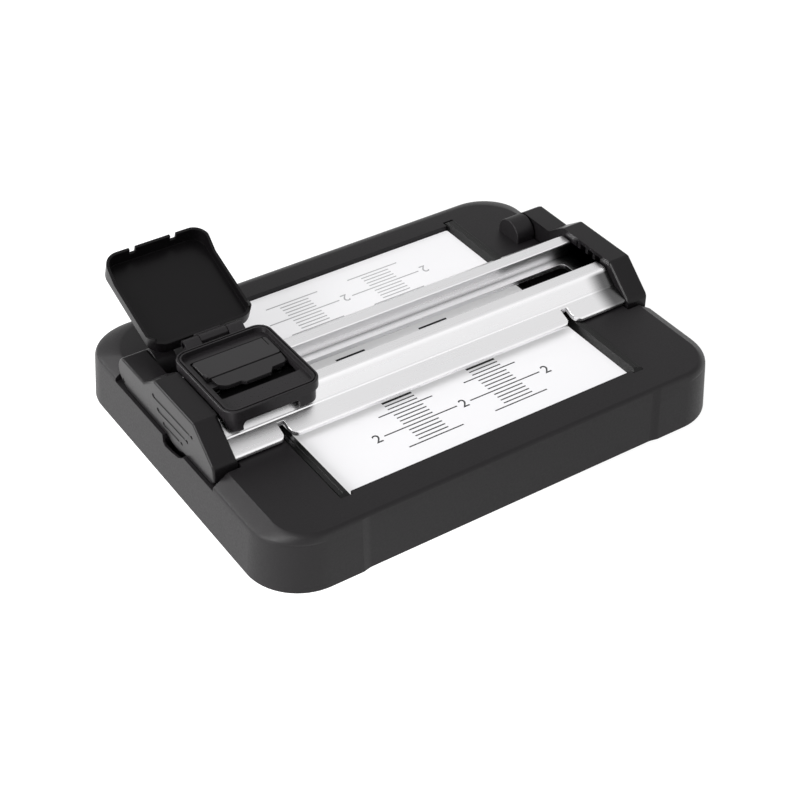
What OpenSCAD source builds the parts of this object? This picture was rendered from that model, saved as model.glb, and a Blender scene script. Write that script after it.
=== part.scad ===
// Desk film cutter: a base with a scale panel, a hinged rail and a sliding blade carriage.
// Millimetres, +Z up, origin under the middle of the base on the standing surface.

/* [Base] */
// Width of the base at its shoulder
base_w = 99; // [94:0.5:116]
// Depth of the base at its shoulder
base_d = 76.2; // [74:0.2:96]
// Height of the base from its underside to the deck
base_h = 12.4; // [11.6:0.1:18]
// Corner radius of the base at its shoulder
base_r = 10; // [8:0.5:14]
// Outward flare of the side walls towards the bottom
flare = 0.7; // [0:0.1:1.5]
// Width of the sloping band round the deck
band_w = 5.2; // [3:0.1:6]
// Fall of the sloping band from the deck to the shoulder
band_h = 3.5; // [2:0.1:4.5]
// Thickness of the base walls
wall = 2.2; // [1.6:0.1:3]
// Thickness left under the panel and the block ledges
roof_t = 1.8; // [1.2:0.1:2.4]
// Depth of the plain inset in the front wall
inset_t = 0.35; // [0.2:0.05:0.8]
// Thickness of the bottom plate
plate_t = 1.6; // [1.2:0.1:2.4]
// Height of the feet below the base
foot_h = 0.6; // [0.4:0.1:1.5]
// Radius of a rubber foot
foot_r = 4.5; // [3:0.1:6]
// Shank radius of a base screw
screw_r = 0.9; // [0.7:0.05:1.2]

/* [Panel and film guides] */
// Width of the film channel between the guides
channel_w = 62; // [56:0.5:66]
// Depth of the scale panel from front to rear
panel_d = 59; // [50:0.5:64]
// Thickness of the scale panel
panel_t = 2; // [1.6:0.1:3]
// Drop of the panel below the deck
panel_drop = 1; // [0.8:0.1:1.6]
// Width of a film guide at its foot
guide_w = 2.9; // [2.4:0.1:4]
// Height of a film guide above the deck
guide_h = 0.5; // [0.3:0.1:0.8]
// Width of the cutting strip let into the panel
strip_w = 3.2; // [2.6:0.1:5]
// Thickness of the cutting strip
strip_t = 0.9; // [0.7:0.1:1.2]

/* [Rail] */
// Offset of the cut line from the middle of the base
cut_y = -1; // [-3:0.1:1]
// Reach of the front flange from the cut line
flange_front = 13.4; // [12:0.1:16]
// Reach of the rear flange from the cut line
flange_rear = 12.4; // [11.5:0.1:13.2]
// Height of a flange lip above the panel
lip_z = 1.35; // [1.3:0.05:2]
// Thickness of a flange lip
lip_t = 0.8; // [0.5:0.1:1]
// Distance of a flange bead from the cut line
bead_y = 9.4; // [8.8:0.1:10]
// Height of a flange bead above the panel
bead_z = 3.7; // [3.3:0.1:4]
// Outer half width across the two ridges
ridge_out = 7.4; // [7:0.1:8]
// Inner half width of the channel between the ridges
ridge_in = 4.2; // [3.8:0.1:4.6]
// Height of the ridges above the panel
ridge_z = 6.5; // [6:0.1:7]
// Height of the channel floor above the panel
floor_z = 3.3; // [3.2:0.1:3.6]
// Sheet thickness of the rail
sheet = 1; // [0.8:0.05:1.1]
// Width of the blade slot in the channel floor
slot_w = 4.8; // [4.4:0.1:5.4]

/* [End blocks and hinge] */
// Width of an end block
block_w = 4.9; // [4:0.1:6]
// Setback of a block from the shoulder of the base
block_inset = 0.8; // [0.3:0.1:2]
// Height of the block plateau above the panel
plateau_z = 7.4; // [6.8:0.1:8]
// Reach of the block nose in front of the cut line
nose_y = 14.2; // [13.6:0.1:17]
// Distance of the rail hinge behind the cut line
pivot_y = 19; // [17:0.1:22]
// Height of the rail hinge above the panel
pivot_z = 1.7; // [1.4:0.1:2.2]
// Radius of the block arm round the hinge
pivot_r = 3.3; // [2.8:0.1:3.6]
// Radius of a rail hinge pin
pin_r = 0.9; // [0.6:0.05:1.2]
// Length of a hinge post along the axis
post_w = 4.2; // [3:0.1:6]
// Radial clearance of a turning fit
run_fit = 0.05; // [0.02:0.01:0.1]
// Clearance kept between pieces that pass each other
pass = 0.4; // [0.35:0.05:0.6]

/* [Carriage] */
// Width of the carriage head along the rail
head_w = 19.6; // [18.6:0.1:22]
// Reach of the head in front of the cut line
head_front = 10.75; // [10.6:0.05:12]
// Reach of the head behind the cut line
head_rear = 10.4; // [10:0.1:11.5]
// Corner radius of the head
head_r = 2.8; // [2:0.1:4]
// Height of the head rim above the panel
rim_z = 9.5; // [9.3:0.1:10.5]
// Height of the underside of the head above the panel
head_z = 7.5; // [7.5:0.1:7.7]
// Width of the rim on top of the head
rim_w = 0.9; // [0.6:0.1:1.4]
// Depth of the tray inside the rim
tray_t = 0.8; // [0.5:0.1:1]
// Downward travel of the head when it is pressed
press = 0.7; // [0.5:0.1:0.7]
// Wire radius of a press spring
wire_r = 0.14; // [0.1:0.01:0.15]
// Coil radius of a press spring
coil_r = 0.75; // [0.65:0.05:0.85]
// Height of the blade tip above the panel at rest
tip_z = 0.5; // [0.4:0.1:0.6]
// Thickness of the blade
blade_t = 0.4; // [0.2:0.05:0.5]

/* [Lid] */
// Thickness of the lid skirt
skirt_t = 0.6; // [0.5:0.05:1]
// Thickness of the lid plate
lid_t = 0.8; // [0.6:0.1:1.2]
// Depth of the lid at its sides
lid_h = 2.5; // [2:0.1:3]
// Extra depth of the lid at its front edge
lid_drop = 1.5; // [1:0.1:1.8]
// Overhang of the lid beyond each side of the head
lid_over = 1; // [0.8:0.1:1.3]
// Gap between the front of the lid and the head rim
lid_gap = 0.4; // [0.3:0.05:0.6]
// Opening angle of the lid
lid_open = 159; // [120:0.5:160]
// Radius of the lid hinge barrel
barrel_r = 1; // [0.8:0.05:1.05]
// Radius of the lid hinge pin
lid_pin_r = 0.5; // [0.35:0.05:0.55]

/* [Hidden] */
$fn = 48;

// Thin slice used inside hulls, and the overshoot of cuts
slice = 0.02;
over = 1;

// Levels from the standing surface
deck_z = foot_h + base_h;
panel_z = deck_z - panel_drop;
shoulder_z = deck_z - band_h;
block_foot = pivot_z - pivot_r;
ledge_z = panel_z + block_foot - pass;
pocket_z = panel_z - panel_t;
cavity_z = min(ledge_z, pocket_z) - roof_t;
plate_z = foot_h + plate_t;

// Band crown: exponent of its curve and number of steps
band_crown = 1.6;
band_steps = 6;

// Base screws, bosses and feet
boss_r = 3;
boss_in = 4.8;
boss_x = base_w / 2 - wall - boss_in;
boss_y = base_d / 2 - wall - boss_in;
screw_l = 5;
screw_head_r = 1.9;
screw_head_t = 0.8;
driver_w = 0.5;
foot_seat = 0.6;
foot_x = boss_x - 2 * foot_r;
foot_y = boss_y - 2 * foot_r;

// Trough that the slide keeper and the blade pass along
trough_w = 13;
trough_t = 0.7;
kerf_w = 2;
kerf_t = 1.6;

// Side clearance of a piece that lies in a pocket
seat_fit = 0.1;

// Film guides
guide_slope = 0.6;
guide_top = 1.1;
guide_over = 1.4;
guide_seat = panel_drop;
guide_len = panel_d + 2 * guide_over;
guide_nose = 2;
seat_out = channel_w / 2 + guide_w;

// Groove that the blade tip runs in
groove_w = 1;
groove_t = 0.6;

// End blocks
block_out = base_w / 2 - block_inset;
block_in = block_out - block_w;
arm_z = pivot_z + pivot_r;
slope_y = nose_y / 2;
nose_z = 2.2;
nose_cut = 0.7;
step_low_y = 11.4;
step_top_y = 8.2;
post_out = block_in - pass;
post_in = post_out - post_w;
pin_in = 0.6;
tongue_l = 6;
tongue_fit = 0.1;
cell_n = 3;
cell_w = 1.6;
cell_pitch = 2.5;
cell_t = 1.4;
cell_h = 3;
// Grip grooves on a block: rear end, front end and height above the panel
grips = [[8.1, -5.4, 4.2], [6.9, -3.3, 2], [4.8, -1.1, -0.2]];
grip_r = 0.5;
grip_t = 0.35;
dot_gap = 1.2;
notch_w = 8.5;
notch_t = 1.3;
notch_y = 0.7;
notch_r = notch_w * notch_w / (8 * notch_t) + notch_t / 2;

// Rail details: bevel of the ridges, skin offset, slot ends and flange notches
bevel_w = 0.5;
bevel_h = 0.8;
skin = [0.55 * sheet, -0.85 * sheet];
slot_end = 3.3;
slot_x = block_in - slot_end - slot_w / 2;
notch_gap = 0.5;
notch_round = 1.5;
rail_len = 2 * block_in;

// Film grips seated in the hollow ridges
grip_drop = 0.35;
grip_end = 1.5;

// Carriage placing at the left end of its way
stop_gap = 0.4;
carriage_x = -(block_in - stop_gap - head_w / 2);
slide_gap = 0.3;
runner_z0 = floor_z + slide_gap;
runner_room = 0.5;
runner_z1 = head_z - press - runner_room;
hook_t = 0.6;
hook_in = 0.2;
hook_lip = 0.65;
hook_h = 0.5;
hook_side = 0.6;
hook_y = ridge_in - hook_side;
ledge_x = head_w / 2 - hook_in - hook_t - slide_gap;
runner_x = ledge_x - hook_lip;
ledge_t = 0.9;
hook_z = runner_z1 - ledge_t - slide_gap;
neck_r = slot_w / 2 - slide_gap;
neck_x = slot_x + carriage_x;
keeper_z1 = floor_z - sheet - slide_gap;
keeper_t = 1.1;
keeper_in = 0.4;
keeper_x = runner_x - keeper_in;
keeper_y = ridge_in + hook_side;
kerf_x = 4.9;
kerf_y = 1.2;
keeper_screw_x = neck_x + neck_r / 2;
keeper_screw_r = 0.4;
keeper_head_r = 0.8;
keeper_head_t = 0.5;
keeper_screw_l = 2.3;

// Press springs
spring_side = 1.5;
spring_seat = 1.7;
spring_x = kerf_x + spring_side;
spring_z0 = runner_z1 - spring_seat;
spring_z1 = head_z;
spring_turns = 3.5;
curl_rings = 8;
wire_sides = 6;
spring_room = 0.2;

// Carriage head
skirt_in = 0.5;
front_skirt_t = 0.75;
leg_w = 2.8;
leg_h = 2.8;
leg_z = head_z - leg_h;
arch_h = 1.7;
arch_r = 0.9;
rear_skirt_h = 1.1;
rear_skirt_t = 1;
step_w = 0.6;
step_t = 0.35;
well_front = 5.6;
well_rear = 7.1;
well_side = 2;
well_floor = 0.5;
hatch_rear = 2.2;
hatch_front = 5.3;
tray_z = rim_z - tray_t - step_t;

// Lid hinge axis, behind and above the cut line
hinge_back = 2.05;
hinge_drop = 0.65;
hinge_y = head_rear + hinge_back;
hinge_z = rim_z - hinge_drop;
knuckle_l = 5.2;
outer_knuckle_l = 3.2;
knuckle_gap = 0.3;
lid_edge = 1.6;
lid_w = head_w + 2 * lid_over;
lid_front = head_front + lid_gap + skirt_t;
lid_rear = head_rear;
lid_r = head_r + lid_gap;
front_end = 3.6;
arm_rise = 1.3;
arm_foot = 0.2;
tab_w = 7.4;
tab_notch = 1.2;
tab_notch_t = 1.4;

// Cassette and blade
cassette_fit = 0.2;
cassette_t = 0.85;
cassette_front = 2.6;
lip_run = 1.6;
lip_step = 0.8;
lip_drop = 0.4;
lip_w = 9;
holder_y = 1.4;
holder_drop = 0.2;
blade_x = 4.2;
blade_tip = 1;
blade_root = 1.6;
blade_z = head_z - blade_root;

// Colours
black = "#2b2a2c";
gloss_black = "#1c1b1d";
white = "#f2f1f3";
metal = "#d9d9dc";
steel = "#b9bcc0";
rubber = "#1f1f20";

// Points along a press spring, then its tube
function coil_at(k, n) = [
    coil_r * cos(360 * spring_turns * k / n),
    coil_r * sin(360 * spring_turns * k / n),
    spring_z0 + wire_r + (spring_z1 - spring_z0 - 2 * wire_r) * k / n
];
coil_n = spring_turns * curl_rings;
coil_points = [for (k = [0:coil_n]) coil_at(k, coil_n)];
function unit(v) = v / norm(v);
function heading(p, k) = unit(p[min(k + 1, len(p) - 1)] - p[max(k - 1, 0)]);
function side_of(d) = unit(cross(d, [0, 0, 1]));
function ring_at(p, k, r, n) =
    let (d = heading(p, k), a = side_of(d), b = cross(a, d))
    [for (i = [0:n - 1]) p[k] + r * (cos(360 * i / n) * a + sin(360 * i / n) * b)];
coil_gap = min([
    for (i = [0:coil_n]) for (j = [i + curl_rings - 1:1:coil_n]) norm(coil_points[i] - coil_points[j])
]) - 2 * wire_r;
echo(press_spring_least_gap = coil_gap);

// A tube through a list of points
module tube(points, r, sides) {
    rings = len(points);
    verts = [for (k = [0:rings - 1]) each ring_at(points, k, r, sides)];
    walls = [
        for (k = [0:rings - 2]) for (i = [0:sides - 1])
            let (a = k * sides + i, b = k * sides + (i + 1) % sides)
            each [[a, b, a + sides], [b, b + sides, a + sides]]
    ];
    first = [for (i = [1:sides - 2]) [0, i + 1, i]];
    base = (rings - 1) * sides;
    last = [for (i = [1:sides - 2]) [base, base + i, base + i + 1]];
    polyhedron(points = verts, faces = concat(walls, first, last));
}

// A rectangle with round corners
module rounded_rect(w, d, r) {
    square([w - 2 * r, d], center = true);
    square([w, d - 2 * r], center = true);
    for (x = [-1, 1], y = [-1, 1]) translate([x * (w / 2 - r), y * (d / 2 - r)]) circle(r);
}

// A box given by its two corners
module span(a, b) translate(a) cube(b - a);

// An outline in Y and Z drawn out along X
module along_x(length) rotate([90, 0, 90]) linear_extrude(length, center = true) children();

// An outline in X and Z drawn out along Y
module along_y(length) rotate([90, 0, 0]) linear_extrude(length, center = true) children();

// A round bar along X
module bar_x(r, length) rotate([0, 90, 0]) cylinder(r = r, h = length, center = true);

// The frame of the cut line: over the panel, on the cut
module on_cut() translate([0, cut_y, panel_z]) children();

// The frame of the carriage at the left end of its way
module on_carriage() translate([carriage_x, cut_y, panel_z]) children();

// One layer of the base outline
module base_layer(inset, z)
    translate([0, 0, z]) linear_extrude(slice)
        rounded_rect(base_w - 2 * inset, base_d - 2 * inset, base_r - inset);

// Outside of the base: flared walls and the crowned band
module base_outside() hull() {
    base_layer(-flare, foot_h);
    for (k = [0:band_steps])
        base_layer(band_w * k / band_steps,
            shoulder_z - slice + band_h * (1 - pow(1 - k / band_steps, band_crown)));
}

// Hinge post on the deck, round over the pin
module hinge_post(side) {
    translate([side * (post_in + post_w / 2), cut_y + pivot_y, panel_z + pivot_z]) {
        bar_x(pivot_r, post_w);
        span([-post_w / 2, -pivot_r, deck_z - panel_z - pivot_z - over], [post_w / 2, pivot_r, 0]);
    }
}

// Ledge in the deck that an end block lies in
module block_ledge(side) {
    x0 = block_in - pass;
    y0 = cut_y - nose_y - 1.5 * pass;
    y1 = cut_y + pivot_y + pivot_r + pass;
    span([side > 0 ? x0 : -base_w, y0, ledge_z], [side > 0 ? base_w : -x0, y1, deck_z + over]);
    translate([side * base_w / 2, cut_y - notch_y, ledge_z - notch_t + notch_r])
        bar_x(notch_r, 2 * wall);
}

module base_shell() color(black) difference() {
    union() {
        difference() {
            base_outside();
            translate([0, 0, foot_h - over]) linear_extrude(cavity_z - foot_h + over)
                rounded_rect(base_w - 2 * wall, base_d - 2 * wall, base_r - wall);
            span([-channel_w / 2 - seat_fit, cut_y - panel_d / 2, pocket_z],
                [channel_w / 2 + seat_fit, cut_y + panel_d / 2, deck_z + over]);
            span([-channel_w / 2, -base_d, foot_h - over],
                [channel_w / 2, inset_t - base_d / 2, deck_z - over]);
            for (side = [-1, 1]) block_ledge(side);
            span([-block_in, cut_y - trough_w / 2, deck_z - trough_t],
                [block_in, cut_y + trough_w / 2, deck_z + over]);
            span([-block_in, cut_y - kerf_w / 2, panel_z - kerf_t],
                [block_in, cut_y + kerf_w / 2, deck_z + over]);
        }
        for (x = [-1, 1], y = [-1, 1])
            translate([x * boss_x, y * boss_y, plate_z])
                cylinder(r = boss_r, h = cavity_z - plate_z + slice);
        for (side = [-1, 1]) hinge_post(side);
    }
    for (side = [-1, 1]) guide_seat_cut(side);
    for (x = [-1, 1], y = [-1, 1])
        translate([x * boss_x, y * boss_y, plate_z - over]) cylinder(r = screw_r, h = screw_l + over);
    for (side = [-1, 1])
        translate([side * (post_in + post_w / 2 + pin_in), cut_y + pivot_y, panel_z + pivot_z])
            bar_x(pin_r, post_w + slice);
}

// Seat of a film guide beside the channel
module guide_seat_cut(side) {
    x0 = channel_w / 2;
    span([side > 0 ? x0 : -seat_out, cut_y - guide_len / 2, panel_z - guide_seat],
        [side > 0 ? seat_out : -x0, cut_y + guide_len / 2, deck_z + over]);
}

module bottom_plate() color(black) difference() {
    translate([0, 0, foot_h]) linear_extrude(plate_t)
        rounded_rect(base_w - 2 * (wall + seat_fit), base_d - 2 * (wall + seat_fit), base_r - wall);
    for (x = [-1, 1], y = [-1, 1]) {
        translate([x * boss_x, y * boss_y, 0]) {
            cylinder(r = screw_r, h = deck_z);
            cylinder(r = screw_head_r, h = foot_h + screw_head_t);
        }
        translate([x * foot_x, y * foot_y, 0]) cylinder(r = foot_r, h = foot_h + foot_seat);
    }
}

module base_screws() color(steel)
    for (x = [-1, 1], y = [-1, 1]) translate([x * boss_x, y * boss_y, foot_h]) difference() {
        union() {
            cylinder(r = screw_head_r, h = screw_head_t);
            cylinder(r = screw_r, h = plate_t + screw_l);
        }
        for (turn = [0, 90]) rotate(turn)
            translate([0, 0, -over + driver_w]) cube([2 * screw_r, driver_w, 2 * over], center = true);
    }

module rubber_feet() color(rubber)
    for (x = [-1, 1], y = [-1, 1]) translate([x * foot_x, y * foot_y, 0])
        cylinder(r = foot_r, h = foot_h + foot_seat);

module scale_panel() color(white) difference() {
    span([-channel_w / 2, cut_y - panel_d / 2 + seat_fit, pocket_z],
        [channel_w / 2, cut_y + panel_d / 2 - seat_fit, panel_z]);
    span([-channel_w, cut_y - strip_w / 2, panel_z - strip_t],
        [channel_w, cut_y + strip_w / 2, panel_z + over]);
}

module cutting_strip() color("#8d8f92") difference() {
    span([-channel_w / 2, cut_y - strip_w / 2, panel_z - strip_t],
        [channel_w / 2, cut_y + strip_w / 2, panel_z]);
    span([-channel_w, cut_y - groove_w / 2, panel_z - groove_t],
        [channel_w, cut_y + groove_w / 2, panel_z + over]);
}

// Film guide: sloping inner face, flat top, falling outer face and cut-away ends
module film_guide(side) color(gloss_black) {
    x0 = channel_w / 2;
    z0 = panel_z - guide_seat;
    z1 = deck_z + guide_h;
    difference() {
        translate([0, cut_y, 0]) along_y(guide_len) scale([side, 1]) polygon([
            [x0, z0], [seat_out, z0], [seat_out, deck_z], [x0 + guide_slope + guide_top, z1],
            [x0 + guide_slope, z1], [x0, panel_z]
        ]);
        for (end = [-1, 1])
            translate([side * x0, cut_y + end * guide_len / 2, deck_z]) rotate([-end * 35, 0, 0])
                translate([0, 0, guide_nose])
                    cube([4 * guide_w, 4 * guide_w, 2 * guide_nose], center = true);
        span([-base_w, cut_y - trough_w / 2, deck_z - trough_t],
            [base_w, cut_y + trough_w / 2, deck_z + 2 * over]);
        span([-base_w, cut_y - kerf_w / 2, (z0 + panel_z) / 2],
            [base_w, cut_y + kerf_w / 2, deck_z + over]);
    }
}

module film_guide_left() film_guide(-1);
module film_guide_right() film_guide(1);

// Rail hinge pin: held in the post, running in the block arm
module hinge_pin(side) color(steel)
    translate([0, cut_y + pivot_y, panel_z + pivot_z])
        rotate([0, 90, 0]) translate([0, 0, side > 0 ? post_in + pin_in : -block_out + pin_in])
            cylinder(r = pin_r, h = block_out - post_in - 2 * pin_in);

module hinge_pin_left() hinge_pin(-1);
module hinge_pin_right() hinge_pin(1);

// Top and underside of one half of the rail outline, from lip to floor and back
function rail_top(reach) = [
    [-reach, lip_z], [-reach, lip_z + lip_t], [-bead_y, bead_z], [-ridge_out, ridge_z - bevel_h],
    [-ridge_out + bevel_w, ridge_z], [-ridge_in, ridge_z], [-ridge_in, floor_z]
];
function rail_under(reach) = [
    [-ridge_in - sheet, floor_z - sheet], [-ridge_in - sheet, ridge_z - sheet],
    [-ridge_out + skin.x, ridge_z - sheet], [-ridge_out, ridge_z - bevel_h] + skin,
    [-bead_y, bead_z] + skin, [-reach + skin.x, lip_z]
];
function turned(points) = [for (k = [len(points) - 1:-1:0]) [-points[k].x, points[k].y]];

// Gap in a flange over a film guide, with round outer corners
module flange_notch(reach) {
    w = guide_w + notch_gap;
    depth = reach - bead_y;
    translate([-w / 2, -reach - over, -over]) cube([w, depth + over, 2 * ridge_z]);
    for (s = [-1, 1]) translate([s * w / 2, -reach, -over]) scale([s, 1, 1]) linear_extrude(2 * ridge_z)
        difference() {
            translate([-slice, -slice]) square(notch_round + slice);
            translate([notch_round, notch_round]) circle(notch_round);
        }
}

module rail() color(metal) on_cut() difference() {
    along_x(rail_len) polygon(concat(
        rail_top(flange_front), turned(rail_top(flange_rear)),
        turned(rail_under(flange_rear)), rail_under(flange_front)
    ));
    span([-slot_x, -slot_w / 2, 0], [slot_x, slot_w / 2, ridge_z]);
    for (s = [-1, 1]) {
        translate([s * slot_x, 0, 0]) cylinder(d = slot_w, h = ridge_z);
        translate([s * (channel_w / 2 + guide_w / 2), 0, 0]) {
            flange_notch(flange_front);
            mirror([0, 1, 0]) flange_notch(flange_rear);
        }
    }
}

// Rubber strip in a hollow ridge that holds the film down
module film_grip(side) color(rubber) on_cut() {
    y0 = ridge_in + sheet;
    y1 = ridge_out - skin.x;
    x1 = channel_w / 2 - grip_end;
    span([-x1, side > 0 ? y0 : -y1, grip_drop], [x1, side > 0 ? y1 : -y0, ridge_z - sheet]);
}

module film_grip_front() film_grip(-1);
module film_grip_rear() film_grip(1);

// End block: nose, slope, plateau, step and hinge arm, with tongues in the rail
module end_block(side) color(black) on_cut() {
    x_mid = block_in + block_w / 2;
    tongue_y0 = ridge_in + sheet + tongue_fit;
    tongue_y1 = ridge_out - skin.x - tongue_fit;
    scale([side, 1, 1]) difference() {
        union() {
            translate([x_mid, 0, 0]) along_x(block_w) polygon([
                [nose_cut - nose_y, block_foot], [pivot_y, block_foot], [pivot_y, arm_z],
                [step_low_y, arm_z], [step_top_y, plateau_z], [-slope_y, plateau_z],
                [-nose_y, nose_z], [-nose_y, block_foot + nose_cut]
            ]);
            translate([x_mid, pivot_y, pivot_z]) bar_x(pivot_r, block_w);
            for (y = [-tongue_y1, tongue_y0])
                span([block_in - tongue_l, y, floor_z],
                    [block_in + over, y + tongue_y1 - tongue_y0, ridge_z - sheet - tongue_fit]);
        }
        translate([block_in + (block_w - pin_in) / 2 - over / 2 + slice, pivot_y, pivot_z])
            bar_x(pin_r + run_fit, block_w - pin_in + over);
        for (k = [0:cell_n - 1])
            translate([block_in, (k - (cell_n - 1) / 2) * cell_pitch, floor_z + pass + cell_h / 2])
                cube([2 * cell_t, cell_w, cell_h], center = true);
        for (g = grips) translate([block_out, 0, g.z]) {
            span([-grip_t, g.y, -grip_r], [over, g.x, grip_r]);
            for (y = [g.x, g.y]) translate([0, y, 0]) bar_x(grip_r, 2 * grip_t);
            translate([0, g.y - dot_gap, 0]) bar_x(grip_r, 2 * grip_t);
        }
    }
}

module end_block_left() end_block(-1);
module end_block_right() end_block(1);

// Slide base: runner in the channel, ledges for the hooks and a neck through the slot
module slide_base() color(black) on_carriage() difference() {
    runner_y = ridge_in - slide_gap;
    union() {
        span([-runner_x, -runner_y, runner_z0], [runner_x, runner_y, runner_z1]);
        span([-ledge_x, -runner_y, runner_z1 - ledge_t], [ledge_x, runner_y, runner_z1]);
        span([-neck_x, -neck_r, keeper_z1], [neck_x, neck_r, runner_z1]);
        for (s = [-1, 1])
            translate([s * neck_x, 0, keeper_z1]) cylinder(r = neck_r, h = runner_z1 - keeper_z1);
    }
    span([-kerf_x, -kerf_y / 2, -over], [kerf_x, kerf_y / 2, rim_z]);
    for (s = [-1, 1]) {
        translate([s * spring_x, 0, spring_z0]) cylinder(r = coil_r + wire_r + spring_room, h = rim_z);
        translate([s * keeper_screw_x, 0, keeper_z1 - over])
            cylinder(r = keeper_screw_r, h = keeper_screw_l - keeper_t + over);
    }
}

module slide_keeper() color(black) on_carriage() difference() {
    span([-keeper_x, -keeper_y, keeper_z1 - keeper_t], [keeper_x, keeper_y, keeper_z1]);
    span([-kerf_x, -kerf_y / 2, -over], [kerf_x, kerf_y / 2, rim_z]);
    for (s = [-1, 1]) translate([s * keeper_screw_x, 0, keeper_z1 - keeper_t]) {
        cylinder(r = keeper_screw_r, h = keeper_t + over);
        translate([0, 0, -over]) cylinder(r = keeper_head_r, h = keeper_head_t + over);
    }
}

module keeper_screws() color(steel) on_carriage()
    for (s = [-1, 1]) translate([s * keeper_screw_x, 0, keeper_z1 - keeper_t]) {
        cylinder(r = keeper_head_r, h = keeper_head_t);
        cylinder(r = keeper_screw_r, h = keeper_screw_l);
    }

module press_springs() color(steel) on_carriage()
    for (s = [-1, 1]) translate([s * spring_x, 0, 0]) tube(coil_points, wire_r, wire_sides);

// A rounded plate of the head, inset from its outline
module head_plate(inset, z0, z1)
    translate([0, (head_rear - head_front) / 2, z0]) linear_extrude(z1 - z0)
        rounded_rect(head_w - 2 * inset, head_front + head_rear - 2 * inset, head_r - inset);

// Front skirt: two legs and an arch over the rail
module head_legs() {
    x = head_w / 2 - skirt_in;
    y = head_front - skirt_in;
    arch_x = x - leg_w;
    difference() {
        span([-x, -y, leg_z], [x, front_skirt_t - y, head_z + slice]);
        translate([0, -y, leg_z - over]) rotate([90, 0, 0]) linear_extrude(3 * front_skirt_t, center = true)
            translate([0, (arch_h + over) / 2]) rounded_rect(2 * arch_x, arch_h + over, arch_r);
    }
}

// Snap hooks that hold the head down on the slide base
module head_hooks() {
    x1 = head_w / 2 - hook_in;
    for (s = [-1, 1]) scale([s, 1, 1]) {
        span([x1 - hook_t, -hook_y, hook_z - hook_h], [x1, hook_y, head_z + slice]);
        span([x1 - hook_t - hook_lip, -hook_y, hook_z - hook_h], [x1, hook_y, hook_z]);
    }
}

// The two outer barrels of the lid hinge and their arms
module head_knuckles() {
    x0 = knuckle_l / 2 + knuckle_gap;
    for (s = [-1, 1]) translate([s * (x0 + outer_knuckle_l / 2), 0, 0]) {
        translate([0, hinge_y, hinge_z]) bar_x(barrel_r, outer_knuckle_l);
        span([-outer_knuckle_l / 2, head_rear - rim_w, head_z],
            [outer_knuckle_l / 2, hinge_y, hinge_z - knuckle_gap]);
    }
}

module carriage_head() color(black) on_carriage() difference() {
    well_x = head_w / 2 - well_side;
    well_z = head_z + well_floor;
    union() {
        head_plate(0, head_z, rim_z);
        head_legs();
        head_hooks();
        head_knuckles();
        span([skirt_in + head_r - head_w / 2, head_rear - skirt_in - rear_skirt_t, head_z - rear_skirt_h],
            [head_w / 2 - head_r - skirt_in, head_rear - skirt_in, head_z + slice]);
    }
    head_plate(rim_w, rim_z - step_t, rim_z + over);
    head_plate(rim_w + step_w, tray_z, rim_z + over);
    span([-well_x, -well_front, well_z], [well_x, well_rear, rim_z + over]);
    span([-well_x, -hatch_front, 0], [well_x, -hatch_rear, rim_z]);
    span([-kerf_x, -holder_y - cassette_fit, 0], [kerf_x, holder_y + cassette_fit, rim_z]);
    translate([0, hinge_y, hinge_z]) bar_x(lid_pin_r, 2 * head_w);
}

// Blade cassette: flat top, sloping front lip with a stepped edge, and a holder below
module blade_cassette() color(gloss_black) on_carriage() difference() {
    x1 = head_w / 2 - well_side - cassette_fit;
    z0 = head_z + well_floor;
    y1 = well_rear - cassette_fit;
    union() {
        for (s = [-1, 1]) translate([s * (x1 + lip_w / 2) / 2, 0, 0])
            along_x(x1 - lip_w / 2 + slice) polygon([
                [-cassette_front, z0], [y1, z0], [y1, z0 + cassette_t],
                [-cassette_front + lip_run, z0 + cassette_t]
            ]);
        along_x(lip_w) polygon([
            [-cassette_front - lip_step, z0 - lip_drop], [-hatch_rear - cassette_fit, z0 - lip_drop],
            [-hatch_rear - cassette_fit, z0], [y1, z0], [y1, z0 + cassette_t],
            [-cassette_front + lip_run, z0 + cassette_t]
        ]);
        span([cassette_fit - kerf_x, -holder_y, head_z - holder_drop],
            [kerf_x - cassette_fit, holder_y, z0 + slice]);
    }
    span([-blade_x, -blade_t / 2, 0], [blade_x, blade_t / 2, z0 + cassette_t / 2]);
}

module blade() color(steel) on_carriage()
    along_y(blade_t) polygon([
        [-blade_x, head_z + well_floor + cassette_t / 2], [-blade_x, blade_z], [-blade_tip, tip_z],
        [blade_tip, tip_z], [blade_x, blade_z], [blade_x, head_z + well_floor + cassette_t / 2]
    ]);

// A rounded plate of the closed lid, inset from its outline, about the hinge axis
module lid_plate(inset, z0, z1)
    translate([0, (lid_rear - lid_front) / 2 - hinge_y, z0]) linear_extrude(z1 - z0)
        rounded_rect(lid_w - 2 * inset, lid_front + lid_rear - 2 * inset, lid_r - inset);

// The closed lid about its hinge axis: plate, skirt, snap tab and middle barrel
module closed_lid() difference() {
    top = lid_edge + lid_h;
    front = -lid_front - hinge_y;
    union() {
        difference() {
            lid_plate(0, lid_edge - lid_drop, top);
            lid_plate(skirt_t, lid_edge - lid_drop - over, top - lid_t);
            span([-lid_w, front + front_end, lid_edge - lid_drop - over], [lid_w, over, lid_edge]);
            for (s = [-1, 1]) translate([s * (tab_w + tab_notch) / 2, front, lid_edge - lid_drop])
                cube([tab_notch, 4 * skirt_t, 2 * tab_notch_t], center = true);
        }
        bar_x(barrel_r, knuckle_l);
        along_x(knuckle_l) polygon([
            [-barrel_r, 0], [barrel_r, 0], [skirt_t - hinge_back, lid_edge + arm_rise],
            [-hinge_back - skirt_t / 2, lid_edge + arm_rise],
            [-hinge_back - skirt_t / 2, lid_edge + arm_foot]
        ]);
    }
    bar_x(lid_pin_r + run_fit, 2 * knuckle_l);
}

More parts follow.
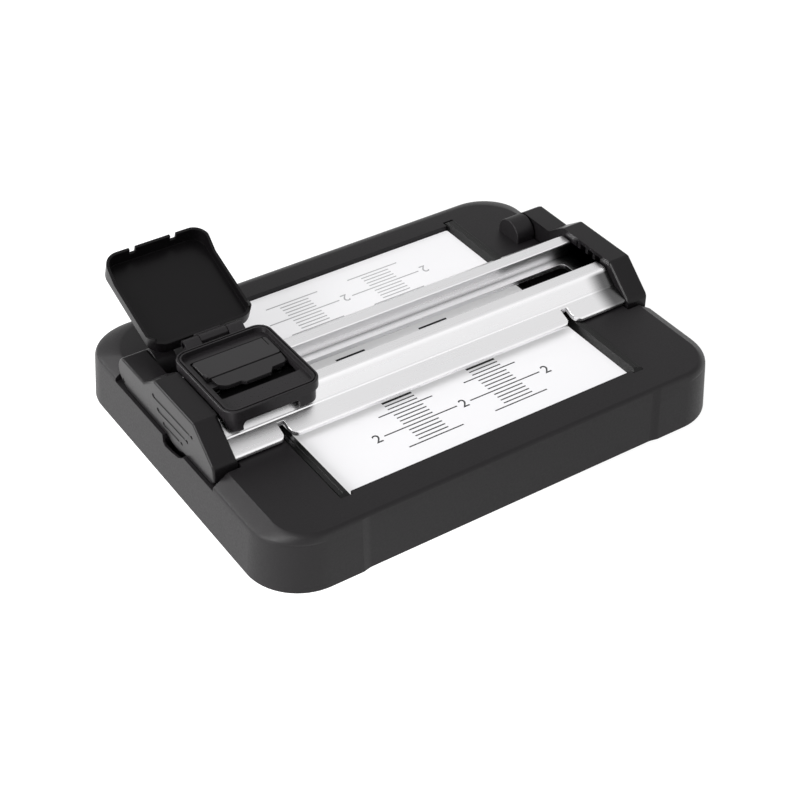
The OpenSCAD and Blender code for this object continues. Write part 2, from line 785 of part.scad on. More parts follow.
module carriage_lid() color(black) on_carriage()
    translate([0, hinge_y, hinge_z]) rotate([-lid_open, 0, 0]) closed_lid();

module lid_hinge_pin() color(steel) on_carriage()
    translate([0, hinge_y, hinge_z]) bar_x(lid_pin_r, knuckle_l + 2 * (knuckle_gap + outer_knuckle_l));

base_shell();
bottom_plate();
base_screws();
rubber_feet();
scale_panel();
cutting_strip();
film_guide_left();
film_guide_right();
hinge_pin_left();
hinge_pin_right();
rail();
film_grip_front();
film_grip_rear();
end_block_left();
end_block_right();
slide_base();
slide_keeper();
keeper_screws();
press_springs();
carriage_head();
blade_cassette();
blade();
carriage_lid();
lid_hinge_pin();
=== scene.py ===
"""Film cutter: the dressed object on the shared frame, with its studio and camera."""
import logging
import math
from contextlib import contextmanager
from dataclasses import dataclass
from enum import Enum
from functools import cache
from typing import Callable, Iterator, Self, Sequence

import bmesh
import bpy
from mathutils import Matrix, Vector


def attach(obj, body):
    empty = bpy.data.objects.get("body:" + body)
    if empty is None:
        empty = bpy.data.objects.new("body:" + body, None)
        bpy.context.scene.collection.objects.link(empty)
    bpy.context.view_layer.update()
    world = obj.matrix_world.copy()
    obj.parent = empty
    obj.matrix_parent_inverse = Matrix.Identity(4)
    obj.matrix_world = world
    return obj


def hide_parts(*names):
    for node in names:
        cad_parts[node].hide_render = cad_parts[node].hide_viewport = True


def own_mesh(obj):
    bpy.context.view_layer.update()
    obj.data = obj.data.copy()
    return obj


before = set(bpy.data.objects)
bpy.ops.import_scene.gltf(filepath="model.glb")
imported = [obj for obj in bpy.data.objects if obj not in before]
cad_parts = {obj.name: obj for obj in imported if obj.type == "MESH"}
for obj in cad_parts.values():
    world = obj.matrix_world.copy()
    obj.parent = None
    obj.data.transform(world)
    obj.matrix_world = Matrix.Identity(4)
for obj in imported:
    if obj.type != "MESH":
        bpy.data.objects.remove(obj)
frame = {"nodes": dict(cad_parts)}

LOG = logging.getLogger("film_cutter")
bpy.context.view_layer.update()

Point = tuple[float, float, float]
Pair = tuple[float, float]
Outline = tuple[Pair, ...]
Spot = Callable[[float, float, float], Point]
Test = Callable[[Vector, Vector], bool]
Socket = bpy.types.NodeSocket

# Places and sizes that pieces share, in millimetres. Pairs are distances from the cut line and
# heights above the panel.
MM = 0.001
CUT_Y = -1.0
PANEL_Z = 12.0
HEAD_X = -33.6
CHANNEL = 31.0
RAIL_X = 43.8
TROUGH: Pair = (6.5, 0.3)
PIVOT: Pair = (19.0, 1.7)
PIVOT_R = 3.3
LID_HINGE: Pair = (12.45, 8.85)
LID_BARREL = 1.0

# How far a cutter reaches past what it cuts, how close two equal measures are, and how close two corners
# are that become one
OVER = 1.0
NEAR = 0.01
WELD = 0.001

# What the finishes share: the span of grain and painted shade that counts, sizes in millimetres, among
# them the reach of the painted shade in corners, and the brushing of drawn metal
SPREAD: Pair = (0.3, 0.7)
BROAD_GRAIN = 14.0
BUMP_DEPTH = 0.02
PAINTED_SHADE_REACH = 2.0
BRUSHING = 0.65
DRAWN_OUT: Point = (0.01, 1.0, 1.0)


class Side(Enum):
    """Left or right of the middle."""

    LEFT = -1
    RIGHT = 1

    def span(self, first: float, second: float) -> Pair:
        """Turn two distances from the middle into a span across, lesser end first."""
        ends = sorted((self.value * first, self.value * second))
        return ends[0], ends[1]


class Element(Enum):
    """What is picked in edit mode."""

    EDGE = "EDGE"
    FACE = "FACE"


class Texture(Enum):
    """Grain of a finish."""

    MOULDED = "moulded"
    DRAWN = "drawn"


def at(x: float, y: float, z: float) -> Point:
    """Give a place in the frame, measured from the cut line and the panel's top."""
    return (x, CUT_Y + y, PANEL_Z + z)


def on_head(x: float, y: float, z: float) -> Point:
    """Give a place in the frame, measured from the middle of the carriage."""
    return at(HEAD_X + x, y, z)


def near(a: float, b: float) -> bool:
    """Tell whether two measures agree."""
    return abs(a - b) < NEAR


def lengthwise(way: Vector) -> bool:
    """Tell whether an edge runs along the rail."""
    return abs(way.x) > 0.9


def crosswise(way: Vector) -> bool:
    """Tell whether an edge runs across the rail."""
    return abs(way.x) < 0.1


def arc(centre: Pair, radius: float, start: float, end: float, steps: int) -> list[Pair]:
    """Find the points of an arc.

    Args:
        centre: Its middle.
        radius: Its radius.
        start: First angle in degrees.
        end: Last angle in degrees.
        steps: Steps from the first angle to the last.

    Returns:
        The points.
    """
    turns = [math.radians(start + (end - start) * k / steps) for k in range(steps + 1)]
    return [(centre[0] + radius * math.cos(t), centre[1] + radius * math.sin(t)) for t in turns]


class Piece:
    """A mesh in work, shaped with Blender's own tools. Sizes and places are in millimetres."""

    def __init__(self, name: str) -> None:
        """Take up the object that was just added.

        Args:
            name: Name of the object and its mesh.
        """
        self.object = bpy.context.object
        self.object.name = name
        self.object.data.name = name
        self._settle_place()

    @staticmethod
    def _settle_place() -> None:
        """Apply the selected object's place, turn and scale."""
        bpy.ops.object.transform_apply(location=True, rotation=True, scale=True)

    @classmethod
    def box(cls, name: str, low: Point, high: Point) -> Self:
        """Add a box.

        Args:
            name: The piece's name.
            low: Least corner.
            high: Greatest corner.

        Returns:
            The box.
        """
        a, b = Vector(low) * MM, Vector(high) * MM
        bpy.ops.mesh.primitive_cube_add(size=1, location=(a + b) / 2, scale=b - a)
        return cls(name)

    @classmethod
    def plate(cls, name: str, low: Point, high: Point, radius: float, steps: int = 10) -> Self:
        """Add a plate with round corners.

        Args:
            name: The piece's name.
            low: Least corner.
            high: Greatest corner.
            radius: Corner radius.
            steps: Steps in a corner.

        Returns:
            The plate.
        """
        a, b = Vector(low) * MM, Vector(high) * MM
        bpy.ops.mesh.primitive_plane_add(size=1, location=(*((a + b) / 2).xy, a.z))
        bpy.context.object.scale = (*(b - a).xy, 1)
        piece = cls(name)
        with piece.editing():
            bpy.ops.mesh.bevel(offset=radius * MM, segments=steps, profile=0.5, affect="VERTICES")
            piece._draw_out(Vector((0, 0, (b - a).z)))
        return piece

    @classmethod
    def trace(cls, name: str, points: Sequence[Point], draw: Point) -> Self:
        """Trace a closed outline point by point and draw it out.

        Args:
            name: The piece's name.
            points: Corners of the outline.
            draw: The way and distance to draw it.

        Returns:
            The closed piece.
        """
        places = [Vector(p) * MM for p in points]
        bpy.ops.mesh.primitive_plane_add(size=MM, location=places[0])
        piece = cls(name)
        with piece.editing():
            bpy.ops.mesh.merge(type="CENTER")
            for a, b in zip(places, places[1:]):
                bpy.ops.mesh.extrude_vertices_move(TRANSFORM_OT_translate={"value": b - a})
            bpy.ops.mesh.select_all(action="SELECT")
            bpy.ops.mesh.edge_face_add()
            piece._draw_out(Vector(draw) * MM)
        return piece

    @classmethod
    def prism(cls, name: str, outline: Sequence[Pair], ends: Pair, spot: Spot = at) -> Self:
        """Draw an outline of distances and heights out across, from one end to the other."""
        return cls.trace(name, [spot(ends[0], y, z) for y, z in outline], (ends[1] - ends[0], 0, 0))

    @classmethod
    def loft(cls, name: str, rings: Sequence[Sequence[Point]]) -> Self:
        """Skin a stack of outlines that have the same number of points.

        Args:
            name: The piece's name.
            rings: Outlines from the lowest to the highest.

        Returns:
            The closed piece.
        """
        skin = bmesh.new()
        rows = [[skin.verts.new(Vector(p) * MM) for p in ring] for ring in rings]
        for low, high in zip(rows, rows[1:]):
            for k, corner in enumerate(low):
                n = (k + 1) % len(low)
                skin.faces.new((corner, low[n], high[n], high[k]))
        skin.faces.new(rows[0][::-1])
        skin.faces.new(rows[-1])
        bmesh.ops.recalc_face_normals(skin, faces=skin.faces)
        bpy.ops.object.add(type="MESH")
        piece = cls(name)
        skin.to_mesh(piece.object.data)
        skin.free()
        return piece

    @classmethod
    def rod(cls, name: str, start: Point, end: Point, radius: float, sides: int) -> Self:
        """Add a round bar.

        Args:
            name: The piece's name.
            start: Middle of one end.
            end: Middle of the other end.
            radius: Its radius.
            sides: Its number of sides.

        Returns:
            The bar.
        """
        a, b = Vector(start) * MM, Vector(end) * MM
        bpy.ops.mesh.primitive_cylinder_add(
            vertices=sides, radius=radius * MM, depth=(b - a).length, location=(a + b) / 2,
            rotation=(b - a).to_track_quat("Z", "Y").to_euler())
        return cls(name)

    @staticmethod
    def _draw_out(move: Vector) -> None:
        """Draw the outline in edit mode out into a closed body.

        Args:
            move: The way and distance in metres.
        """
        bpy.ops.mesh.select_all(action="SELECT")
        bpy.ops.mesh.extrude_region_move(TRANSFORM_OT_translate={"value": move})
        bpy.ops.mesh.select_all(action="SELECT")
        bpy.ops.mesh.normals_make_consistent(inside=False)

    def focus(self) -> None:
        """Make this the only selected and the active object."""
        bpy.ops.object.select_all(action="DESELECT")
        self.object.select_set(True)
        bpy.context.view_layer.objects.active = self.object

    @contextmanager
    def editing(self) -> Iterator[None]:
        """Hold the piece in edit mode, with everything selected at first."""
        self.focus()
        bpy.ops.object.mode_set(mode="EDIT")
        bpy.ops.mesh.select_mode(type="VERT")
        bpy.ops.mesh.select_all(action="SELECT")
        yield
        bpy.ops.object.mode_set(mode="OBJECT")

    def pick(self, kind: Element, test: Test) -> None:
        """Select the edges or faces that pass a test, in edit mode.

        Args:
            kind: What to pick.
            test: Takes the middle and the direction of an edge or the normal of a face.
        """
        bpy.ops.mesh.select_mode(type=kind.value)
        bpy.ops.mesh.select_all(action="DESELECT")
        mesh = bmesh.from_edit_mesh(self.object.data)
        mesh.normal_update()
        for part in mesh.edges if kind is Element.EDGE else mesh.faces:
            ends = [v.co / MM for v in part.verts]
            way = part.normal if kind is Element.FACE else (ends[1] - ends[0]).normalized()
            if test(sum(ends, Vector()) / len(ends), way):
                part.select_set(True)
        mesh.select_flush_mode()
        bmesh.update_edit_mesh(self.object.data)

    def bevel(self, width: float, test: Test, steps: int = 4) -> None:
        """Round the edges that pass a test.

        Args:
            width: Width of the rounding.
            test: Takes an edge's middle and its direction.
            steps: Steps in the rounding.
        """
        with self.editing():
            self.pick(Element.EDGE, test)
            bpy.ops.mesh.bevel(offset=width * MM, segments=steps, profile=0.5, affect="EDGES")

    def slice(self, place: Point, normal: Point, snap: float) -> None:
        """Cut off what lies beyond a plane, with corners within snap taken as on it, and close the cut."""
        with self.editing():
            bpy.ops.mesh.bisect(plane_co=Vector(place) * MM, plane_no=normal, clear_outer=True,
                                use_fill=True, threshold=snap * MM)

    def apply(self, kind: str, **settings: object) -> None:
        """Add a modifier, set it and apply it.

        Args:
            kind: Blender's name of the modifier.
            **settings: Its settings.
        """
        self.focus()
        bpy.ops.object.modifier_add(type=kind)
        modifier = self.object.modifiers[-1]
        for key, value in settings.items():
            setattr(modifier, key, value)
        bpy.ops.object.modifier_apply(modifier=modifier.name)

    def cut(self, *tools: Self) -> None:
        """Cut tools out of the piece, one after the other.

        Args:
            *tools: The cutters, which are used up.
        """
        for tool in tools:
            self.apply("BOOLEAN", operation="DIFFERENCE", solver="EXACT", object=tool.object)
            bpy.data.objects.remove(tool.object, do_unlink=True)

    def soften(self, width: float, steps: int = 2, fold: float = 50.0) -> None:
        """Round every edge that folds by at least so many degrees."""
        self.apply("BEVEL", width=width * MM, segments=steps, limit_method="ANGLE",
                   angle_limit=math.radians(fold), use_clamp_overlap=False)

    def join(self, *others: Self) -> None:
        """Join other pieces to this one as they are.

        Args:
            *others: The pieces that become part of it.
        """
        self.focus()
        for other in others:
            other.object.select_set(True)
        bpy.ops.object.join()

    def place(self, spot: Point, turn: Point = (0, 0, 0)) -> None:
        """Turn the piece about the origin and move it.

        Args:
            spot: Where the origin goes.
            turn: Turns about the axes in degrees.
        """
        self.focus()
        self.object.location = Vector(spot) * MM
        self.object.rotation_euler = [math.radians(angle) for angle in turn]
        self._settle_place()

    def mirrored(self, name: str) -> Self:
        """Copy the piece to the other side of the middle plane.

        Args:
            name: The copy's name.

        Returns:
            The copy.
        """
        self.focus()
        bpy.ops.object.duplicate(linked=False)
        bpy.context.object.scale.x = -1
        other = type(self)(name)
        with other.editing():
            bpy.ops.mesh.normals_make_consistent(inside=False)
        return other

    def smooth(self, fold: float) -> None:
        """Clean the mesh and shade it smooth except at its sharp folds.

        Args:
            fold: Least fold in degrees that stays sharp.
        """
        with self.editing():
            bpy.ops.mesh.remove_doubles(threshold=WELD * MM)
            bpy.ops.mesh.select_all(action="SELECT")
            bpy.ops.mesh.normals_make_consistent(inside=False)
        bpy.ops.object.shade_smooth_by_angle(angle=math.radians(fold))

    def finish(self, body: str, slot: str, *nodes: str, paint: str = "", fold: float = 30.0) -> None:
        """Shade and dress the piece and tie it to the frame.

        Args:
            body: The body that it rides.
            slot: The record's material slot.
            *nodes: CAD nodes that it stands for.
            paint: Key in FINISHES, the slot's own where empty.
            fold: Least fold in degrees that stays sharp, 0 for flat faces.
        """
        if fold:
            self.smooth(fold)
        self.apply("WEIGHTED_NORMAL", keep_sharp=True, weight=100)
        dress(self.object, paint or slot)
        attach(self.object, body)
        if nodes:
            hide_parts(*nodes)
        LOG.info("%s: %d faces", self.object.name, len(self.object.data.polygons))


class Graph:
    """Node tree of a material or a world."""

    def __init__(self, owner: bpy.types.Material | bpy.types.World) -> None:
        """Take up the nodes of a material or a world."""
        owner.use_nodes = True
        self.tree = owner.node_tree

    def feed(self, node: bpy.types.Node, inputs: dict[str | int, object]) -> None:
        """Set a node's inputs.

        Args:
            node: The node.
            inputs: A constant or a socket for each input.
        """
        for name, value in inputs.items():
            if isinstance(value, Socket):
                self.tree.links.new(value, node.inputs[name])
            else:
                node.inputs[name].default_value = value

    def add(self, kind: str, inputs: dict[str | int, object], **options: object) -> bpy.types.Node:
        """Add a node.

        Args:
            kind: Blender's name of the node, without its prefix.
            inputs: A constant or a socket for each input that is set.
            **options: Its other settings.

        Returns:
            The node.
        """
        node = self.tree.nodes.new(f"ShaderNode{kind}")
        for key, value in options.items():
            setattr(node, key, value)
        self.feed(node, inputs)
        return node

    def where(self, output: str) -> Socket:
        """Give one of the texture coordinates."""
        return self.add("TexCoord", {}).outputs[output]

    def axis(self, vector: Socket, name: str) -> Socket:
        """Give one axis of a vector."""
        return self.add("SeparateXYZ", {"Vector": vector}).outputs[name]

    def noise(self, vector: Socket, size: float, detail: float) -> Socket:
        """Give a noise of a size in millimetres."""
        inputs = {"Vector": vector, "Scale": 1.0 / (size * MM), "Detail": detail}
        return self.add("TexNoise", inputs).outputs["Fac"]

    def maths(self, operation: str, a: object, b: object) -> Socket:
        """Give the result of a sum."""
        return self.add("Math", {0: a, 1: b}, operation=operation).outputs[0]

    def ramp(self, value: Socket, span: Pair, result: Pair, **options: object) -> Socket:
        """Map a value from one span to another."""
        inputs = {"Value": value, "From Min": span[0], "From Max": span[1],
                  "To Min": result[0], "To Max": result[1]}
        return self.add("MapRange", inputs, **options).outputs["Result"]


@dataclass(frozen=True)
class Finish:
    """A procedural finish, with fine grain in its roughness and relief and broad grain in its colour.

    Attributes:
        name: Material name.
        colour: Linear base colour.
        tint: Linear colour at the dark end of the broad grain.
        rough: Roughness at the ends of the fine grain.
        metal: Metallic share.
        grain: Size of the fine grain in millimetres.
        relief: Strength of the fine grain's relief.
        texture: Kind of grain.
        level: Specular level.
        glow: Painted glow: light that the piece gives off by itself, though it is no lamp.
        painted_shade: How much painted shade darkens the colour under the right end block and close to other
            pieces.
        painted_shade_x: Where the block's painted shade begins and ends along the rail, in millimetres.
        painted_shade_z: Heights between which the block's painted shade sets in, in millimetres.
    """

    name: str
    colour: Point
    tint: Point
    rough: Pair
    metal: float = 0.0
    grain: float = 0.3
    relief: float = 0.05
    texture: Texture = Texture.MOULDED
    level: float = 0.5
    glow: float = 0.0
    painted_shade: float = 0.0
    painted_shade_x: Pair = (37.6, 41.8)
    painted_shade_z: Pair = (18.4, 17.6)

    def _drawn(self, graph: Graph, place: Socket) -> Socket:
        """Brush the shader along the rail.

        Args:
            graph: The material's nodes.
            place: Place on the piece.

        Returns:
            The place, drawn out along the rail for the grain.
        """
        across = graph.add("Tangent", {}, direction_type="RADIAL", axis="X")
        shader = graph.tree.nodes["Principled BSDF"]
        graph.feed(shader, {"Tangent": across.outputs["Tangent"], "Anisotropic": BRUSHING})
        return graph.add("Mapping", {"Vector": place, "Scale": DRAWN_OUT}).outputs["Vector"]

    def _paint_shade(self, graph: Graph, place: Socket, colour: Socket) -> Socket:
        """Paint shade into a colour under the right end block and close to other pieces.

        Args:
            graph: The material's nodes.
            place: Place on the piece.
            colour: The colour.

        Returns:
            The colour with the painted shade.
        """
        # Painted shade: ambient occlusion darkens the colour close to other pieces
        free = graph.add("AmbientOcclusion", {"Distance": PAINTED_SHADE_REACH * MM}, samples=8).outputs["AO"]
        shade = graph.ramp(free, SPREAD, (1.0 - self.painted_shade, 1.0))
        # Painted shade of the right end block: darker towards the block along the rail and below the ridge
        # tops
        ramps = []
        for name, span, depth in (("X", self.painted_shade_x, self.painted_shade), ("Z", self.painted_shade_z, 1.0)):
            ends = (span[0] * MM, span[1] * MM)
            ramps.append(graph.ramp(graph.axis(place, name), ends, (0.0, depth),
                                    interpolation_type="SMOOTHSTEP"))
        block = graph.maths("SUBTRACT", 1.0, graph.maths("MULTIPLY", *ramps))
        inputs = {"Factor": 1.0, "A": colour, "B": graph.maths("MULTIPLY", block, shade)}
        return graph.add("Mix", inputs, data_type="RGBA", blend_type="MULTIPLY").outputs["Result"]

    def make(self) -> bpy.types.Material:
        """Build the node material.

        Returns:
            The material.
        """
        made = bpy.data.materials.new(self.name)
        graph = Graph(made)
        place = graph.where("Object")
        drawn = self.texture is Texture.DRAWN
        grain = graph.noise(self._drawn(graph, place) if drawn else place, self.grain, detail=3.0)
        broad = graph.noise(place, BROAD_GRAIN, detail=2.0)
        inputs = {"Factor": broad, "A": (*self.tint, 1), "B": (*self.colour, 1)}
        colour = graph.add("Mix", inputs, data_type="RGBA").outputs["Result"]
        # Painted shade goes into the base colour
        if self.painted_shade:
            colour = self._paint_shade(graph, place, colour)
        inputs = {"Base Color": colour, "Roughness": graph.ramp(grain, SPREAD, self.rough),
                  "Metallic": self.metal, "Specular IOR Level": self.level, "Emission Strength": self.glow}
        if self.relief:
            bump = {"Strength": self.relief, "Distance": BUMP_DEPTH * MM, "Height": grain}
            inputs["Normal"] = graph.add("Bump", bump).outputs["Normal"]
        graph.feed(made.node_tree.nodes["Principled BSDF"], inputs)
        return made


FINISHES: dict[str, Finish] = {finish.name: finish for finish in (
    Finish("matte_black", (0.0070, 0.0060, 0.0070), (0.0056, 0.0048, 0.0056), (0.44, 0.54),
           grain=0.35, relief=0.25, level=0.26),
    Finish("block_black", (0.0085, 0.0077, 0.0085), (0.0070, 0.0063, 0.0070), (0.28, 0.34),
           relief=0.10, level=0.17),
    # Painted light: a lighter copy of the black of the blocks, which brightens the head and the lid's barrel
    Finish("head_black_painted_light", (0.016, 0.0145, 0.016), (0.013, 0.0118, 0.013), (0.27, 0.31),
           relief=0.04, level=0.21),
    Finish("cassette_black", (0.016, 0.0148, 0.016), (0.013, 0.012, 0.013), (0.28, 0.32),
           grain=0.8, relief=0.02, level=0.36),
    # Painted shade: near black and dull, so the slide base under the head's hatch comes out as dark as deep
    # shade
    Finish("runner_black_painted_shade", (0.0016, 0.0015, 0.0016), (0.0012, 0.0011, 0.0012), (0.55, 0.65), level=0.06),
    # Painted shade: a darker copy of the black of the blocks, for the lid and its shaded inside
    Finish("lid_black_painted_shade", (0.0035, 0.0030, 0.0035), (0.0026, 0.0022, 0.0026), (0.30, 0.40),
           relief=0.12, level=0.18),
    Finish("gloss_black", (0.003, 0.003, 0.003), (0.002, 0.002, 0.002), (0.30, 0.34),
           grain=0.8, relief=0.02, level=0.24),
    # Painted glow: the white panel gives off light of its own, which lifts the shade under the rail
    Finish("white_panel", (0.48, 0.475, 0.49), (0.46, 0.455, 0.47), (0.30, 0.34),
           grain=0.6, relief=0.0, glow=0.39),
    Finish("scale_ink", (0.025, 0.025, 0.027), (0.02, 0.02, 0.022), (0.4, 0.5), grain=0.4, relief=0.02),
    Finish("scale_ink_pale", (0.42, 0.42, 0.43), (0.38, 0.38, 0.39), (0.4, 0.5), grain=0.4, relief=0.02),
    Finish("grey_strip", (0.62, 0.62, 0.63), (0.57, 0.57, 0.58), (0.5, 0.6), grain=0.4),
    # Painted shade on the rail, near the right end block and in its corners
    Finish("rail_metal", (0.89, 0.885, 0.895), (0.86, 0.855, 0.865), (0.27, 0.29), metal=1.0,
           grain=0.25, relief=0.008, texture=Texture.DRAWN, painted_shade=0.85),
    Finish("blade_steel", (0.62, 0.62, 0.64), (0.56, 0.56, 0.58), (0.18, 0.28), metal=1.0,
           grain=0.2, relief=0.08, texture=Texture.DRAWN),
    Finish("steel", (0.55, 0.55, 0.57), (0.48, 0.48, 0.50), (0.22, 0.32), metal=1.0, grain=0.4),
    # Painted shade: the springs are kept near black so that no speck of them shows in the head's hatch
    Finish("spring_steel_painted_shade", (0.012, 0.012, 0.013), (0.009, 0.009, 0.010), (0.4, 0.5), metal=0.6),
    Finish("rubber", (0.018, 0.018, 0.018), (0.014, 0.014, 0.014), (0.6, 0.75), grain=0.4, relief=0.3),
)}

# CAD nodes that keep their own mesh, with their finishes
KEPT_NODES: dict[str, str] = {
    "bottom_plate": "matte_black", "base_screws": "steel", "rubber_feet": "rubber",
    "cutting_strip": "grey_strip", "hinge_pin_left": "steel", "hinge_pin_right": "steel",
    "film_grip_front": "rubber", "film_grip_rear": "rubber", "slide_base": "runner_black_painted_shade",
    # The slide base takes the near black finish of painted shade
    "slide_keeper": "block_black", "keeper_screws": "steel", "blade": "blade_steel",
    "lid_hinge_pin": "block_black",
}


@cache
def material(finish: str) -> bpy.types.Material:
    """Make the material of a finish, once."""
    return FINISHES[finish].make()


def dress(target: bpy.types.Object, finish: str) -> None:
    """Put one finish on an object."""
    target.data.materials.clear()
    target.data.materials.append(material(finish))


@dataclass
class BaseBody:
    """Moulded base with flared walls, a band beside the deck, pockets, ledges and hinge posts."""

    width: float = 99.0
    depth: float = 76.2
    radius: float = 10.0
    corner_steps: int = 16
    flare: float = 0.7
    foot: float = 0.6
    shoulder: float = 9.5
    crease: float = 10.95
    deck: float = 13.0
    bend: float = 0.22
    side_band: float = 3.1
    rear_band: float = 5.2
    crown: float = 1.6
    front_lean: float = 0.4
    front_edge: float = 0.7
    deck_radius: Pair = (7.0, 9.5)
    shoulder_rings: tuple[float, ...] = (-0.7, -0.2, 0.0, 0.2, 0.6)
    crease_rings: tuple[float, ...] = (-0.45, -0.23, -0.09, 0.0, 0.09, 0.23, 0.45, 0.85)
    edge_rings: tuple[float, ...] = (1.0, 0.64, 0.36, 0.14, 0.0)
    wall: float = 2.2
    cavity_z: float = 8.2
    inset: float = 0.35
    inset_run: float = 2.4
    inset_steps: int = 8
    skim: float = 0.03
    seat_x: float = 33.4
    seat_y: Pair = (-31.4, 30.95)
    seat_t: float = 1.0
    pocket_x: float = 31.1
    pocket_y: Pair = (-30.57, 29.5)
    pocket_t: float = 2.0
    kerf: Pair = (1.0, -1.6)
    ledge_x: float = 43.4
    ledge_y: Pair = (-15.8, 21.7)
    ledge_z: float = 10.2
    notch_x: float = 47.4
    notch: Outline = ((4.1, 0.0), (3.95, -1.6), (3.5, -3.3), (2.9, -3.72), (0.4, -3.5), (-2.2, -3.0),
                      (-3.4, -2.3), (-5.2, -1.0), (-5.6, 0.0))
    gutter: tuple[Pair, Pair, Pair] = ((47.5, 49.0), (-5.0, 3.7), (-6.8, -2.6))
    post: Pair = (39.2, 43.4)
    post_low: float = 0.4
    post_r: float = 0.2
    edge_r: float = 0.08

    def _insets(self, z: float) -> Point:
        """Find how far the outline stands in at one height.

        Args:
            z: The height.

        Returns:
            Insets at the sides, the front and the rear.
        """
        def over(bend: float) -> float:
            """Give the share of the rise from a rounded bend to the deck."""
            up = z - bend
            return min(1.0, (up + math.hypot(up, self.bend)) / 2 / (self.deck - bend))

        rise = self.shoulder - self.foot
        lean = self.flare * (z - self.shoulder) / rise
        side = lean + self.side_band * over(self.crease)
        rear = lean + self.rear_band * (1 - (1 - over(self.shoulder)) ** (1 / self.crown))
        turn = max(0.0, 1 + (z - self.deck) / self.front_edge)
        front = self.front_lean * (z - self.foot) / rise - self.flare
        return side, front + self.front_edge * (1 - math.sqrt(1 - turn * turn)), rear

    def _ring(self, z: float) -> list[Point]:
        """Find the outline at one height.

        Args:
            z: The height.

        Returns:
            The points, going round once.
        """
        side, front, rear = self._insets(z)
        share = max(0.0, (z - self.crease) / (self.deck - self.crease))
        points = []
        for k, (sx, sy) in enumerate(((1, 1), (-1, 1), (-1, -1), (1, -1))):
            inset = rear if sy > 0 else front
            aim = self.deck_radius[sy > 0] * share
            rx, ry = ((self.radius - gap) * (1 - share) + aim for gap in (side, inset))
            cx, cy = self.width / 2 - side - rx, self.depth / 2 - inset - ry
            for step in range(self.corner_steps + 1):
                turn = math.pi / 2 * (k + step / self.corner_steps)
                points.append((sx * cx + rx * math.cos(turn), sy * cy + ry * math.sin(turn), z))
        return points

    def _shell(self) -> Piece:
        """Skin the outside ring by ring, since the band differs from side to side.

        Returns:
            The closed outside.
        """
        levels = [self.foot]
        levels += [self.shoulder + rise for rise in self.shoulder_rings]
        levels += [self.crease + rise for rise in self.crease_rings]
        levels += [self.deck - self.front_edge * fall for fall in self.edge_rings]
        return Piece.loft("base_shell_body", [self._ring(z) for z in levels])

    def _inset_tool(self) -> Piece:
        """Make the cutter of the plain inset in the front wall, which leans with the wall.

        Returns:
            The cutter.
        """
        lean = self.front_lean / (self.shoulder - self.foot)
        wall = -self.depth / 2 - self.flare - lean * (self.foot + OVER)
        left = [(-CHANNEL - self.inset_run, wall - OVER)]
        for k in range(self.inset_steps + 1):
            t = k / self.inset_steps
            ease = t * t * (3 - 2 * t)
            left.append((-CHANNEL - self.inset_run * (1 - t),
                         wall - self.skim + (self.inset + self.skim) * ease))
        outline = left + [(-x, y) for x, y in reversed(left)]
        rise = self.deck - self.front_edge + OVER
        return Piece.trace("front_inset", [(x, y, -OVER) for x, y in outline], (0, lean * rise, rise))

    def _cutters(self) -> Iterator[Piece]:
        """Make the cutters of the pockets, ledges and hollows.

        Yields:
            The cutters, in the order of the cuts.
        """
        x, y = self.width / 2 - self.wall, self.depth / 2 - self.wall
        yield Piece.plate("cavity", (-x, -y, -OVER), (x, y, self.cavity_z), self.radius - self.wall, steps=12)
        top = self.deck - PANEL_Z + OVER
        for side in Side:
            x0, x1 = side.span(CHANNEL, self.seat_x)
            yield Piece.box("seat", at(x0, self.seat_y[0], -self.seat_t), at(x1, self.seat_y[1], top))
        x, (y0, y1) = self.pocket_x, self.pocket_y
        yield Piece.box("pocket", at(-x, y0, -self.pocket_t), at(x, y1, top))
        yield self._inset_tool()
        for half, low in (TROUGH, self.kerf):
            yield Piece.box("trough", at(-RAIL_X, -half, low), at(RAIL_X, half, top))
        for side in Side:
            x0, x1 = side.span(self.ledge_x, self.width / 2 + OVER)
            y0, y1 = self.ledge_y
            yield Piece.box("ledge", (x0, y0, self.ledge_z), (x1, y1, self.deck + OVER))
            ends = side.value * self.notch_x, side.value * (self.width / 2 + OVER)
            yield Piece.prism("notch", self.notch, ends)
            x, (y0, y1), (z0, z1) = self.gutter
            x0, x1 = side.span(*x)
            yield Piece.box("gutter", at(x0, y0, z0), at(x1, y1, z1))

    def _posts(self) -> Iterator[Piece]:
        """Model the hinge posts.

        Yields:
            The two posts.
        """
        bow = arc(PIVOT, PIVOT_R, 0, 180, steps=24)
        outline = [(bow[0][0], self.post_low), *bow, (bow[-1][0], self.post_low)]
        for side in Side:
            post = Piece.prism("post", outline, side.span(*self.post))
            post.bevel(self.post_r, lambda mid, way: crosswise(way), steps=3)
            yield post

    def build(self) -> None:
        """Model the whole base."""
        piece = self._shell()
        piece.cut(*self._cutters())
        piece.soften(self.edge_r)
        piece.join(*self._posts())
        piece.finish("base", "matte_black", "base_shell", fold=32)


@dataclass
class ScalePanel:
    """White panel with a groove for the cutting strip."""

    span: Pair = (-30.5, 29.4)
    thick: float = 2.0
    radius: float = 0.5
    strip: float = 1.6
    strip_t: float = 0.9
    edge_r: float = 0.06

    def build(self) -> None:
        """Model the panel."""
        piece = Piece.plate("scale_panel_body", at(-CHANNEL, self.span[0], -self.thick),
                            at(CHANNEL, self.span[1], 0), self.radius, steps=6)
        x = CHANNEL + OVER
        piece.cut(Piece.box("strip", at(-x, -self.strip, -self.strip_t), at(x, self.strip, OVER)))
        piece.soften(self.edge_r)
        piece.finish("base", "white_panel", "scale_panel")


